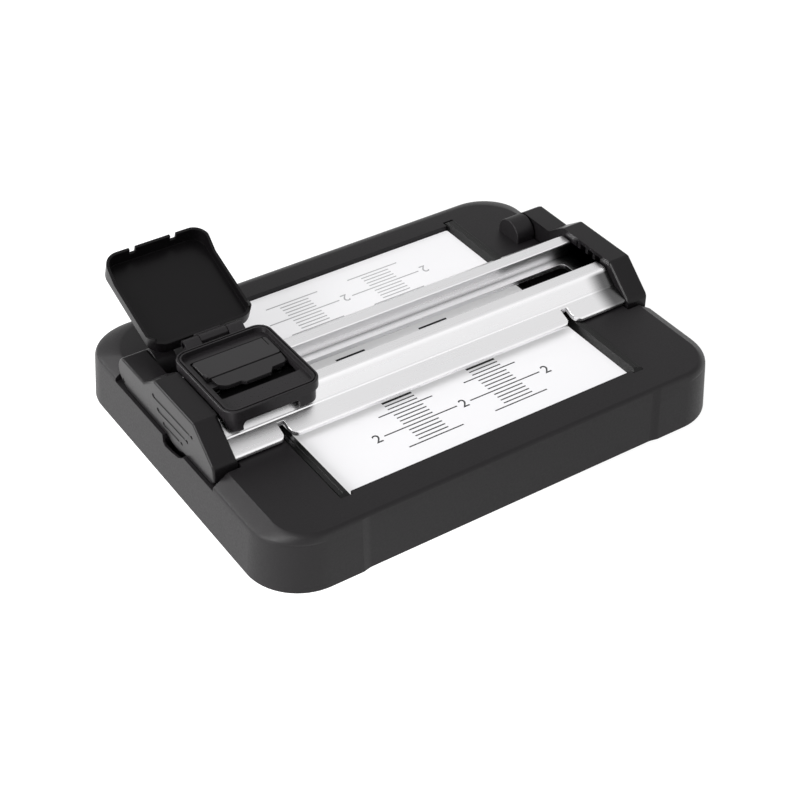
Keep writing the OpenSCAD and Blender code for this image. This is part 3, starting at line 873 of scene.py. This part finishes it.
@dataclass
class FilmGuides:
    """Glossy guides beside the film channel, with sloping ends."""

    section: Outline = ((0.0, -1.0), (2.35, -1.0), (2.35, 1.12), (2.25, 1.16), (1.6, 1.14), (1.5, 1.3),
                        (0.72, 1.3), (0.0, 0.02))
    reach: Pair = (-31.3, 30.9)
    tilt: float = 32.0
    tip: float = 0.75
    snap: float = 0.1
    kerf: Pair = (1.0, -0.5)
    edge_r: float = 0.03

    def build(self) -> None:
        """Model one guide and mirror it."""
        y0, y1 = self.reach
        piece = Piece.trace("film_guide_right_body", [at(CHANNEL + x, y0, z) for x, z in self.section],
                            (0, y1 - y0, 0))
        tilt = math.radians(self.tilt)
        for y in self.reach:
            normal = (0, math.copysign(math.sin(tilt), y), math.cos(tilt))
            piece.slice(at(0, y, self.tip), normal, self.snap)
        for half, low in (TROUGH, self.kerf):
            piece.cut(Piece.box("gap", at(CHANNEL - OVER, -half, low), at(RAIL_X, half, 2 * OVER)))
        piece.soften(self.edge_r, fold=20)
        other = piece.mirrored("film_guide_left_body")
        piece.finish("base", "gloss_black", "film_guide_right")
        other.finish("base", "gloss_black", "film_guide_left")


@dataclass
class ScalePrint:
    """Ruler lines and digits printed on the panel, both counted from the cut line."""

    centre: float = 9.45
    first: int = 12
    last: int = 25
    long: int = 20
    short: float = 3.22
    middle: float = 5.9
    long_x: Pair = (1.5, 17.4)
    thick: float = 0.27
    bold: float = 0.5
    bar_y: float = 3.4
    front_skew: float = 0.4
    lift: float = 0.03
    depth: float = 0.06
    digit: float = 3.2
    weight: float = 0.015
    digit_x: Point = (-18.85, 0.0, 18.85)
    front_digit: float = -20.5
    rear_digit: float = 20.2

    def _line(self, name: str, ends: Pair, y: float, width: float) -> Piece:
        """Print one line between two ends across, at a distance from the cut line."""
        return Piece.box(name, at(ends[0], y - width / 2, self.lift - self.depth),
                         at(ends[1], y + width / 2, self.lift))

    def _digit(self, name: str, x: float, y: float) -> Piece:
        """Print one digit, which is read from its own side of the cut line.

        Args:
            name: Name of the print.
            x: Its middle across.
            y: Its middle, from the cut line.

        Returns:
            The digit as a mesh.
        """
        bpy.ops.object.text_add()
        mark = bpy.context.object.data
        mark.body = "2"
        mark.size = self.digit * MM
        mark.align_x = mark.align_y = "CENTER"
        mark.extrude = self.depth / 2 * MM
        mark.offset = self.weight * MM
        bpy.ops.object.convert(target="MESH")
        piece = Piece(name)
        piece.place(at(x, y, self.lift - self.depth / 2), (0, 0, 0 if y < 0 else 180))
        return piece

    def _ruler(self, name: str, way: int, skew: float, digit_y: float) -> Iterator[Piece]:
        """Print the lines and digits of one ruler.

        Args:
            name: Name of the print.
            way: -1 in front of the cut line, 1 behind it.
            skew: Further offset of the lines from the cut line.
            digit_y: Place of the digits, from the cut line.

        Yields:
            The lines and digits.
        """
        for side in Side:
            c = side.value * self.centre
            for k in range(self.first, self.last + 1):
                half = self.short if k % 5 else self.middle
                ends = side.span(*self.long_x) if k == self.long else (c - half, c + half)
                yield self._line(name, ends, way * (k + skew), self.bold if k == self.first else self.thick)
        for x in self.digit_x:
            yield self._digit(name, x, digit_y)

    def build(self) -> None:
        """Print both rulers and the bars beside the cut."""
        bars = (self._line("scale_print_bars", (c - self.short, c + self.short), self.bar_y, self.bold)
                for c in (-self.centre, self.centre))
        front = self._ruler("scale_print_front", -1, self.front_skew, self.front_digit)
        rear = self._ruler("scale_print_rear", 1, 0.0, self.rear_digit)
        for marks, ink in ((front, "scale_ink"), (rear, "scale_ink_pale"), (bars, "scale_ink")):
            piece, *others = marks
            piece.join(*others)
            piece.finish("base", "gloss_black", paint=ink, fold=0)


@dataclass
class Rail:
    """Drawn aluminium rail with two ridges, a slot and notched flanges.

    Its profile is given as distances from the cut line and heights above the panel.
    """

    reach: Pair = (13.4, 12.4)
    lip: Pair = (1.35, 2.15)
    bead: Pair = (9.4, 3.7)
    bead_bend: Outline = ((0.3, -0.1), (0.2, 0.12), (-0.1, 0.28))
    foot: Pair = (7.4, 5.7)
    ridge: Pair = (6.9, 4.2)
    top: float = 6.5
    floor: float = 3.3
    sheet: float = 1.0
    skin: Pair = (0.55, 0.85)
    slot: float = 2.4
    slot_x: float = 40.5
    slot_r: float = 1.2
    notch_x: Pair = (-32.85, 30.75)
    notch_y: float = 10.25
    notch: float = 1.5
    notch_r: Pair = (1.0, 1.8)
    ridge_r: float = 0.3
    lip_r: float = 0.42
    end_r: float = 0.6
    end_z: float = 5.8
    edge_r: float = 0.06

    def _half(self, reach: float) -> list[Pair]:
        """Find the profile of one half.

        Args:
            reach: Reach of the flange.

        Returns:
            The upper side from the channel outwards, then the lower side back to the channel.
        """
        (b, h), inner, t = self.bead, self.ridge[1], self.sheet
        y, z = (share * t for share in self.skin)
        return [(inner, self.floor), (inner, self.top), (self.ridge[0], self.top), self.foot,
                *((b + dy, h + dz) for dy, dz in reversed(self.bead_bend)),
                (reach, self.lip[1]), (reach, self.lip[0]), (reach - y, self.lip[0]), (b - y, h - z),
                (self.foot[0] - y, self.foot[1] - z), (self.foot[0] - y, self.top - t),
                (inner + t, self.top - t), (inner + t, self.floor - t)]

    def _notch_tool(self, x: float, reach: float, way: int) -> Piece:
        """Make the cutter of a flange notch that widens at the lip.

        Args:
            x: Middle of the notch.
            reach: Reach of the flange.
            way: -1 in front of the cut line, 1 behind it.

        Returns:
            The cutter.
        """
        half, sides = self.notch / 2, []
        for r in self.notch_r:
            bend = arc((half + r, reach - r), r, 180, 90, steps=8)
            sides.append([(half, self.notch_y), *bend, (half + r, reach + OVER)])
        outline = sides[1] + [(-a, y) for a, y in reversed(sides[0])]
        return Piece.trace("notch", [at(x + a, way * y, -OVER) for a, y in outline],
                           (0, 0, self.top + 2 * OVER))

    def build(self) -> None:
        """Model the rail."""
        front, rear = (self._half(reach) for reach in self.reach)
        outline = [(-y, z) for y, z in reversed(front)] + rear
        piece = Piece.prism("rail_body", outline, (-RAIL_X, RAIL_X))
        for width, height in ((self.ridge_r, self.top), (self.lip_r, self.lip[1])):
            piece.bevel(width, lambda mid, way: lengthwise(way) and near(mid.z, PANEL_Z + height))
        for x in self.notch_x:
            for reach, way in zip(self.reach, (-1, 1)):
                piece.cut(self._notch_tool(x, reach, way))
        piece.cut(Piece.plate("slot", at(-self.slot_x, -self.slot, 0),
                              at(self.slot_x, self.slot, self.top + OVER), self.slot_r, steps=6))
        piece.bevel(self.end_r, lambda mid, way: near(abs(mid.x), RAIL_X) and crosswise(way)
                    and mid.z > PANEL_Z + self.end_z)
        piece.soften(self.edge_r, steps=3, fold=25)
        piece.finish("rail_arm", "rail_metal", "rail", fold=35)


@dataclass
class EndBlock:
    """Black block at an end of the rail, with a nose, a plateau, an arm, a tab and grip grooves.

    Its outlines are given as distances from the cut line and heights above the panel.
    """

    outer: float = 48.7
    foot: float = -1.6
    nose: float = 14.2
    nose_z: float = 2.2
    nose_cut: float = 0.7
    slope_y: float = 7.7
    plateau: float = 8.0
    step: Pair = (11.6, 7.1)
    arm_z: float = 4.8
    plateau_r: float = 0.35
    nose_r: float = 0.7
    chamfer: float = 0.5
    sole: float = 0.05
    hem: float = 0.7
    grooves: tuple[Point, ...] = ((-5.6, 8.1, 4.3), (-3.6, 6.6, 2.0), (-1.3, 4.6, 0.0))
    groove_r: Pair = (0.2, 0.5)
    groove_t: float = 0.16
    groove_edge: float = 0.09
    dot_r: float = 0.34
    dot_gap: float = 1.1
    dimple: Pair = (20.2, -0.2)
    dimple_r: float = 0.5
    dimple_t: float = 0.1
    cells: Outline = ((0.55, 0.8), (-1.75, 0.8), (-4.0, 0.8), (2.45, 0.2))
    cell_z: Pair = (4.0, 7.3)
    cell_t: float = 1.4
    tab: Outline = ((3.9, -1.2), (3.3, -1.75), (2.5, -2.2), (1.5, -2.52), (0.3, -2.68), (-0.9, -2.62),
                    (-2.0, -2.25), (-3.0, -1.7), (-3.7, -1.2))
    tab_x: Pair = (1.1, 0.05)
    tab_r: float = 0.12

    def _block(self) -> Piece:
        """Model the right block with its rounded edges.

        Returns:
            The block without grooves and cells.
        """
        top = math.degrees(math.asin((self.arm_z - PIVOT[1]) / PIVOT_R))
        outline = [(self.nose_cut - self.nose, self.foot), *arc(PIVOT, PIVOT_R, -90, top, steps=16),
                   (self.step[0], self.arm_z), (self.step[1], self.plateau), (-self.slope_y, self.plateau),
                   (-self.nose, self.nose_z), (-self.nose, self.foot + self.nose_cut)]
        piece = Piece.prism("end_block_right_body", outline, (RAIL_X, self.outer))
        piece.bevel(self.plateau_r, lambda mid, way: lengthwise(way) and near(mid.z, PANEL_Z + self.plateau))
        piece.bevel(self.nose_r, lambda mid, way: lengthwise(way) and near(mid.z, PANEL_Z + self.nose_z)
                    and near(mid.y, CUT_Y - self.nose))
        piece.bevel(self.chamfer, lambda mid, way: crosswise(way) and near(mid.x, self.outer)
                    and mid.z > PANEL_Z + self.foot + self.sole, steps=3)
        piece.bevel(self.hem, lambda mid, way: crosswise(way) and near(mid.x, RAIL_X)
                    and mid.z > PANEL_Z + self.nose_z and mid.y < CUT_Y - self.slope_y, steps=3)
        return piece

    def _dent(self, name: str, place: Pair, depth: float, radius: float, sides: int) -> Piece:
        """Make the cutter of a round dent in the outer face."""
        return Piece.rod(name, at(self.outer - depth, *place), at(self.outer + OVER, *place), radius, sides)

    def _grip(self, piece: Piece) -> None:
        """Cut the grip grooves, which narrow to the front and end in a dot.

        Args:
            piece: The block.
        """
        slim, wide = self.groove_r
        for y0, y1, z in self.grooves:
            outline = arc((y1 - wide, z), wide, -90, 90, 8) + arc((y0, z), slim, 90, 270, 8)
            piece.cut(Piece.prism("groove", outline, (self.outer - self.groove_t, self.outer + OVER)))
            piece.cut(self._dent("dot", (y0 - self.dot_gap, z), 2 * self.groove_t, self.dot_r, sides=16))
        (front, rear, high), low = self.grooves[0], self.grooves[-1][2]
        corners = at(0, front - 2 * self.dot_gap, low - self.dot_gap), at(0, rear, high + self.dot_gap)
        piece.bevel(self.groove_edge, lambda mid, way: near(mid.x, self.outer) and all(
            corners[0][k] < mid[k] < corners[1][k] for k in (1, 2)), steps=1)

    def build(self) -> None:
        """Model the right block and mirror it."""
        piece = self._block()
        self._grip(piece)
        piece.cut(self._dent("dimple", self.dimple, self.dimple_t, self.dimple_r, sides=20))
        for y, half in self.cells:
            piece.cut(Piece.box("cell", at(RAIL_X - OVER, y - half, self.cell_z[0]),
                                at(RAIL_X + self.cell_t, y + half, self.cell_z[1])))
        tab = Piece.prism("tab", self.tab, (self.outer - self.tab_x[0], self.outer - self.tab_x[1]))
        tab.soften(self.tab_r)
        piece.join(tab)
        other = piece.mirrored("end_block_left_body")
        piece.finish("rail_arm", "block_black", "end_block_right")
        other.finish("rail_arm", "block_black", "end_block_left")


@dataclass
class CarriageHead:
    """Tray of the carriage with a grooved rim, a front skirt, hooks and hinge barrels."""

    half_w: float = 9.8
    front: float = -10.75
    rear: float = 10.4
    low: float = 7.5
    rim: float = 9.5
    radius: float = 2.8
    rim_w: float = 1.0
    rim_r: float = 0.2
    groove: Pair = (0.4, 0.66)
    groove_t: float = 0.4
    edge_r: float = 0.06
    tray: float = 8.5
    well_x: Pair = (-7.7, 8.25)
    well_y: Pair = (-4.95, 7.4)
    well_z: float = 8.0
    well_r: float = 0.6
    hatch_y: Pair = (-4.9, -0.6)
    kerf: Pair = (4.9, 1.6)
    lap: float = 0.1
    leg_z: float = 4.7
    leg_w: Pair = (2.8, 4.3)
    leg_t: float = 0.75
    leg_r: float = 0.15
    skirt_in: float = 0.5
    skirt_run: float = 6.75
    room: tuple[Pair, Pair] = ((0.05, -0.05), (2.05, 1.8))
    arch: float = 1.7
    arch_r: float = 0.9
    rear_skirt: tuple[Pair, Pair] = ((6.5, 6.4), (8.9, 9.9))
    hook_in: float = 0.2
    hook_y: float = 3.6
    hook: Outline = ((0.0, 4.1), (0.0, 7.8), (0.6, 7.8), (0.6, 4.8), (1.25, 4.8), (1.25, 4.4), (0.9, 4.1))
    knuckle: Pair = (2.9, 6.1)
    knuckle_in: Pair = (0.5, 0.3)
    knuckle_r: float = 0.1

    def _shrunk(self, name: str, inset: float, low: float, high: float) -> Piece:
        """Make a plate of the tray's outline, drawn in and between two heights."""
        x = self.half_w - inset
        return Piece.plate(name, on_head(-x, self.front + inset, low), on_head(x, self.rear - inset, high),
                           self.radius - inset)

    def _tray(self) -> Piece:
        """Model the tray with its grooved rim, its well and its openings.

        Returns:
            The tray.
        """
        piece = self._shrunk("carriage_head_body", 0.0, self.low, self.rim)
        piece.bevel(self.rim_r, lambda mid, way: near(mid.z, PANEL_Z + self.rim))
        top = self.rim + OVER
        piece.cut(self._shrunk("hollow", self.rim_w, self.tray, top))
        outer, inner = self.groove
        ring = self._shrunk("groove", outer, self.rim - self.groove_t, self.rim + self.groove_t)
        ring.cut(self._shrunk("core", inner, self.rim - OVER, top))
        piece.cut(ring)
        piece.soften(self.edge_r, fold=60)
        (x0, x1), (y0, y1) = self.well_x, self.well_y
        piece.cut(Piece.plate("well", on_head(x0, y0, self.well_z), on_head(x1, y1, top), self.well_r,
                              steps=5))
        piece.cut(Piece.box("hatch", on_head(x0, self.hatch_y[0], 0), on_head(x1, self.hatch_y[1], top)))
        x, y = self.kerf
        piece.cut(Piece.box("kerf", on_head(-x, -y, 0), on_head(x, y, top)))
        return piece

    def _skirt(self) -> Piece:
        """Model the front skirt, which turns the corners, has an arch and clears the rail.

        Returns:
            The skirt.
        """
        x, y = self.half_w - self.skirt_in, self.front + self.skirt_in
        r, t, low, top = self.radius - self.skirt_in, self.leg_t, self.leg_z, self.rim + OVER
        rear = y + self.skirt_run + t + OVER
        skirt = Piece.plate("skirt", on_head(-x, y, low),
                            on_head(x, y + self.skirt_run, self.low + self.lap), r, steps=8)
        skirt.cut(Piece.plate("hollow", on_head(t - x, y + t, 0), on_head(x - t, rear, top), r - t, steps=8))
        (y0, z0), (y1, z1) = ((y + t + dy, low + dz) for dy, dz in self.room)
        outline = [(y0, 0), (y0, z0), (y1, z1), (y1, top), (rear, top), (rear, 0)]
        skirt.cut(Piece.prism("room", outline, (-x - OVER, x + OVER), on_head))
        x0, x1, r = self.leg_w[0] - x, x - self.leg_w[1], self.arch_r
        z = low + self.arch - r
        outline = [(x1, low - OVER), *arc((x1 - r, z), r, 0, 90, 6), *arc((x0 + r, z), r, 90, 180, 6),
                   (x0, low - OVER)]
        skirt.cut(Piece.trace("arch", [on_head(a, y - OVER, z) for a, z in outline], (0, 3 * OVER, 0)))
        skirt.soften(self.leg_r, fold=40)
        return skirt

    def _details(self) -> Iterator[Piece]:
        """Model the rear skirt, the hooks and the hinge barrels.

        Yields:
            The pieces.
        """
        (x, z), (y0, y1) = self.rear_skirt
        yield Piece.box("rear_skirt", on_head(-x, y0, z), on_head(x, y1, self.low + self.lap))
        y, z = LID_HINGE
        start = self.rear - self.knuckle_in[0]
        outline = [(start, self.low), (y, self.low), *arc(LID_HINGE, LID_BARREL, -70, 130, steps=20),
                   (start, z - self.knuckle_in[1])]
        outer = self.half_w - self.hook_in
        for side in Side:
            hook = [on_head(side.value * (outer - inset), -self.hook_y, z) for inset, z in self.hook]
            yield Piece.trace("hook", hook, (0, 2 * self.hook_y, 0))
            knuckle = Piece.prism("knuckle", outline, side.span(*self.knuckle), on_head)
            knuckle.soften(self.knuckle_r)
            yield knuckle

    def build(self) -> None:
        """Model the head."""
        piece = self._tray()
        piece.join(self._skirt(), *self._details())
        # The head wears the lighter copy of the black, painted light
        piece.finish("head", "block_black", "carriage_head", paint="head_black_painted_light", fold=32)


@dataclass
class Cassette:
    """Blade cassette with a flat top, a sloping front lip and an end tab."""

    sides: Pair = (-7.4, 8.0)
    crease: float = 1.35
    rear: float = 6.9
    low: float = 8.0
    top: float = 8.85
    radius: float = 0.5
    edge_r: float = 0.12
    lip: Outline = ((-6.5, 1.75), (-6.5, 0.6), (-6.3, -0.2), (-5.9, -0.85), (-5.2, -1.35), (-4.4, -1.6),
                    (-2.0, -1.6), (-1.2, -2.2), (3.9, -2.2), (4.7, -1.2), (7.4, -1.1), (7.8, -0.6),
                    (7.9, 0.2), (7.9, 1.75))
    lip_low: float = 7.3
    lip_drop: float = 0.12
    lip_fall: float = 0.17
    lip_r: float = 0.08
    snap: float = 0.001
    line: Pair = (0.16, 0.4)
    frame: Pair = (7.1, 4.3)
    tab_x: Pair = (-0.15, 0.4)
    tab_y: Pair = (1.2, 2.4)
    tab_rise: float = 0.45

    def build(self) -> None:
        """Model the cassette."""
        (x0, x1), y, top = self.sides, self.crease, self.top
        piece = Piece.plate("blade_cassette_body", on_head(x0, y, self.low), on_head(x1, self.rear, top),
                            self.radius, steps=4)
        piece.soften(self.edge_r, steps=3, fold=40)
        lip = Piece.trace("lip", [on_head(a, b, self.lip_low) for a, b in self.lip],
                          (0, 0, top - self.lip_low))
        lip.slice(on_head(0, y, top - self.lip_drop), (0, -self.lip_fall, 1), self.snap)
        wide, deep = self.line
        lip.cut(Piece.box("line", on_head(x0 - OVER, y - wide, top - deep),
                          on_head(x1 + OVER, y + OVER, top + OVER)))
        lip.soften(self.lip_r, steps=3, fold=40)
        x, y = self.frame
        piece.cut(Piece.box("frame_line", on_head(x, y, top - deep),
                            on_head(x + wide, self.rear + OVER, top + OVER)))
        (a0, a1), (b0, b1) = self.tab_x, self.tab_y
        tab = Piece.box("tab", on_head(x0 + a0, b0, self.low), on_head(x0 + a1, b1, top + self.tab_rise))
        tab.soften(self.edge_r, fold=40)
        piece.join(lip, tab)
        piece.finish("head", "gloss_black", "blade_cassette", paint="cassette_black")


@dataclass
class Lid:
    """Shallow lid of the carriage, modelled closed about its hinge and then opened."""

    half_w: float = 10.8
    front: float = -24.2
    rear: float = -2.05
    edge: float = 1.6
    low: float = 0.1
    top: float = 4.1
    radius: float = 3.2
    top_r: float = 0.7
    edge_r: float = 0.1
    skirt: float = 0.6
    plate: float = 0.8
    deep: float = 5.2
    ramp: float = 2.6
    ramp_end: Pair = (0.8, 1.28)
    ear: float = 1.5
    ear_ramp: float = 1.9
    ear_drop: float = 1.15
    room: Point = (0.25, 1.5, 0.7)
    notch_x: float = 4.3
    notch: Pair = (1.2, 1.4)
    knuckle: float = 2.8
    arm: Outline = ((0.2, 0.9), (-1.55, 3.0), (-2.35, 3.0), (-2.35, 1.0), (-1.7, 0.8), (-1.2, -0.35),
                    (-0.7, -0.75))
    opening: float = 159.0

    def _shell(self) -> Piece:
        """Hollow the lid out and cut its edges.

        Returns:
            The closed lid.
        """
        piece = Piece.plate("carriage_lid_body", (-self.half_w, self.front, self.low),
                            (self.half_w, self.rear, self.top), self.radius)
        piece.bevel(self.top_r, lambda mid, way: near(mid.z, self.top), steps=5)
        with piece.editing():
            piece.pick(Element.FACE, lambda mid, way: way.z < -0.9)
            bpy.ops.mesh.inset(thickness=self.skirt * MM, depth=0)
            rise = (self.top - self.plate - self.low) * MM
            bpy.ops.mesh.extrude_region_move(TRANSFORM_OT_translate={"value": (0, 0, rise)})
        fore, aft, under = self.front + self.deep, self.rear - self.ear, self.low - 2 * OVER
        ear, end = self.edge - self.ear_drop, self.rear + OVER
        cut = [(fore - self.ramp, under), (fore - self.ramp, self.low), (fore, self.ramp_end[1]),
               (fore + self.ramp_end[0], self.edge), (aft - self.ear_ramp, self.edge), (aft, ear),
               (end, ear), (end, under)]
        x = self.half_w + OVER
        piece.cut(Piece.trace("side_cut", [(-x, y, z) for y, z in cut], (2 * x, 0, 0)))
        inset, run, drop = self.room
        x = self.half_w - self.skirt - inset
        piece.cut(Piece.box("rim_room", (-x, self.rear - run, under), (x, end, self.edge - drop)))
        half = self.notch[0] / 2
        for side in Side:
            x = side.value * self.notch_x
            piece.cut(Piece.box("tab_notch", (x - half, self.front - OVER, under),
                                (x + half, self.front + 2 * self.skirt, self.low + self.notch[1])))
        piece.soften(self.edge_r)
        return piece

    def _barrel(self) -> Piece:
        """Model the hinge barrel with the arm that carries the lid.

        Returns:
            The barrel.
        """
        x = self.knuckle
        barrel = Piece.rod("carriage_lid_barrel", (-x, 0, 0), (x, 0, 0), LID_BARREL, sides=40)
        arm = Piece.trace("arm", [(-x, y, z) for y, z in self.arm], (2 * x, 0, 0))
        for part in (barrel, arm):
            part.soften(self.edge_r)
        barrel.join(arm)
        return barrel

    def build(self) -> None:
        """Model the lid and open it."""
        # The shell wears the darker copy of the black (painted shade), the barrel the lighter one (painted
        # light)
        for piece, paint in ((self._shell(), "lid_black_painted_shade"), (self._barrel(), "head_black_painted_light")):
            piece.place(on_head(0, *LID_HINGE), (-self.opening, 0, 0))
            piece.finish("lid", "block_black", "carriage_lid", paint=paint, fold=32)


@dataclass
class PressSprings:
    """Two wound springs under the head, which squash when it is pressed."""

    wire: float = 0.14
    wire_sides: int = 10
    coil: float = 0.75
    turns: float = 3.5
    steps: int = 84
    low: float = 4.6
    high: float = 7.5
    offset: float = 6.4
    press: float = 0.7

    def _spring(self, side: Side) -> Piece:
        """Wind one spring with a screw modifier.

        Args:
            side: Its side of the carriage.

        Returns:
            The spring.
        """
        bpy.ops.mesh.primitive_circle_add(vertices=self.wire_sides, radius=self.wire * MM, fill_type="NGON",
                                          location=(self.coil * MM, 0, 0), rotation=(math.pi / 2, 0, 0))
        spring = Piece("press_springs_wire")
        rise = self.high - self.low - 2 * self.wire
        spring.apply("SCREW", angle=math.tau * self.turns, screw_offset=rise * MM, steps=self.steps,
                     render_steps=self.steps)
        spring.place(on_head(side.value * self.offset, 0, self.low + self.wire))
        return spring

    def build(self) -> None:
        """Model both springs."""
        piece, other = (self._spring(side) for side in Side)
        piece.join(other)
        # The springs take the near black finish of painted shade
        piece.finish("carriage", "steel", "press_springs", paint="spring_steel_painted_shade", fold=60)
        anchor = tuple(c * MM for c in on_head(0, 0, self.low))
        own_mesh(piece.object)


@dataclass(frozen=True)
class Lamp:
    """A soft round light that looks at the object. Sizes and places are in metres."""

    name: str
    place: Point
    size: float
    watts: float
    glossy: bool = True
    diffuse: bool = True
    aim: Point = (0.0, 0.0, 0.01)

    def hang(self) -> None:
        """Add the light to the stage."""
        bpy.ops.object.light_add(type="AREA", location=self.place)
        light = bpy.context.object
        light.name = self.name
        light.data.shape = "DISK"
        light.data.size = self.size
        light.data.energy = self.watts
        light.visible_glossy = self.glossy
        light.visible_diffuse = self.diffuse
        way = Vector(self.aim) - Vector(self.place)
        light.rotation_euler = way.to_track_quat("-Z", "Y").to_euler()


@dataclass(frozen=True)
class Studio:
    """Camera, floor, lights and world. Places are in metres and angles in degrees."""

    place: Point = (-0.152246, -0.226656, 0.212401)
    azimuth: float = -33.95
    elevation: float = 38.04
    roll: float = 0.41
    lens: float = 79.70
    clip: float = 0.01
    lamps: tuple[Lamp, ...] = (
        Lamp("key", (-0.70, -0.05, 0.30), 0.5, 6.5),
        Lamp("rim", (-0.56, 0.60, 0.42), 0.35, 3.6, diffuse=False),
        Lamp("top", (0.0, 0.10, 0.90), 0.8, 2.5, glossy=False),
    )
    floor_size: float = 4.0
    floor_grey: float = 0.9
    floor_rough: float = 0.9
    floor_share: float = 0.85
    floor_x: Pair = (-0.07, 0.02)
    floor_glow: Pair = (1.75, 1.1)
    fill: float = 0.55
    rear_gloss: Pair = (0.92, 0.76)
    front_gloss: Pair = (0.35, 0.0)
    front_way: Pair = (-0.9, -0.45)

    def camera(self) -> None:
        """Set the camera at the photograph's place."""
        az, el, roll = (math.radians(a) for a in (self.azimuth, self.elevation, self.roll))
        back = Vector((math.sin(az) * math.cos(el), -math.cos(az) * math.cos(el), math.sin(el)))
        right = Vector((math.cos(az), math.sin(az), 0))
        up = back.cross(right)
        across = right * math.cos(roll) + up * math.sin(roll)
        over = up * math.cos(roll) - right * math.sin(roll)
        bpy.ops.object.camera_add()
        camera = bpy.context.object
        camera.name = "camera"
        turn = Matrix((across, over, back)).transposed().to_4x4()
        camera.matrix_world = Matrix.Translation(Vector(self.place)) @ turn
        camera.data.lens = self.lens
        camera.data.clip_start = self.clip
        bpy.context.scene.camera = camera

    def floor(self) -> None:
        """Lay a white floor that keeps the object's shadow."""
        bpy.ops.mesh.primitive_plane_add(size=self.floor_size)
        floor = Piece("floor").object
        white = bpy.data.materials.new("floor_white")
        graph = Graph(white)
        shader = white.node_tree.nodes["Principled BSDF"]
        graph.feed(shader, {"Base Color": (*[self.floor_grey] * 3, 1), "Roughness": self.floor_rough})
        rays = graph.add("LightPath", {}).outputs
        seen = graph.maths("MAXIMUM", rays["Is Camera Ray"], rays["Is Glossy Ray"])
        wash = graph.ramp(graph.axis(graph.where("Object"), "X"), self.floor_x, self.floor_glow)
        glow = graph.add("Emission", {"Strength": wash})
        mix = graph.add("MixShader", {"Fac": graph.maths("MULTIPLY", seen, self.floor_share),
                                      1: shader.outputs["BSDF"], 2: glow.outputs["Emission"]})
        graph.feed(white.node_tree.nodes["Material Output"], {"Surface": mix.outputs["Shader"]})
        floor.data.materials.append(white)

    def world(self) -> None:
        """Fill the surroundings with a pale light that metal sees as brighter in front."""
        world = bpy.data.worlds.new("studio")
        bpy.context.scene.world = world
        graph = Graph(world)
        rays = graph.add("LightPath", {}).outputs
        way = graph.axis(graph.where("Generated"), "Y")
        rear = graph.ramp(way, (self.front_way[1], 1.0), self.rear_gloss)
        front = graph.ramp(way, self.front_way, self.front_gloss)
        light = graph.add("Mix", {"Factor": rays["Is Glossy Ray"], "A": self.fill,
                                  "B": graph.maths("ADD", rear, front)}).outputs["Result"]
        strength = graph.maths("MAXIMUM", rays["Is Camera Ray"], light)
        graph.feed(world.node_tree.nodes["Background"], {"Color": (1, 1, 1, 1), "Strength": strength})

    def build(self) -> None:
        """Set up the whole studio."""
        self.camera()
        self.floor()
        for lamp in self.lamps:
            lamp.hang()
        self.world()
        bpy.context.scene.view_settings.view_transform = "Standard"


def main() -> None:
    """Build, dress and light the film cutter."""
    logging.basicConfig(level=logging.INFO, format="%(message)s")
    for name, finish in KEPT_NODES.items():
        dress(frame["nodes"][name], finish)
        LOG.info("%s: kept, %s", name, finish)
    for part in (BaseBody(), ScalePanel(), FilmGuides(), ScalePrint(), Rail(), EndBlock(), CarriageHead(),
                 Cassette(), Lid(), PressSprings(), Studio()):
        part.build()


if __name__ == "__main__":
    main()
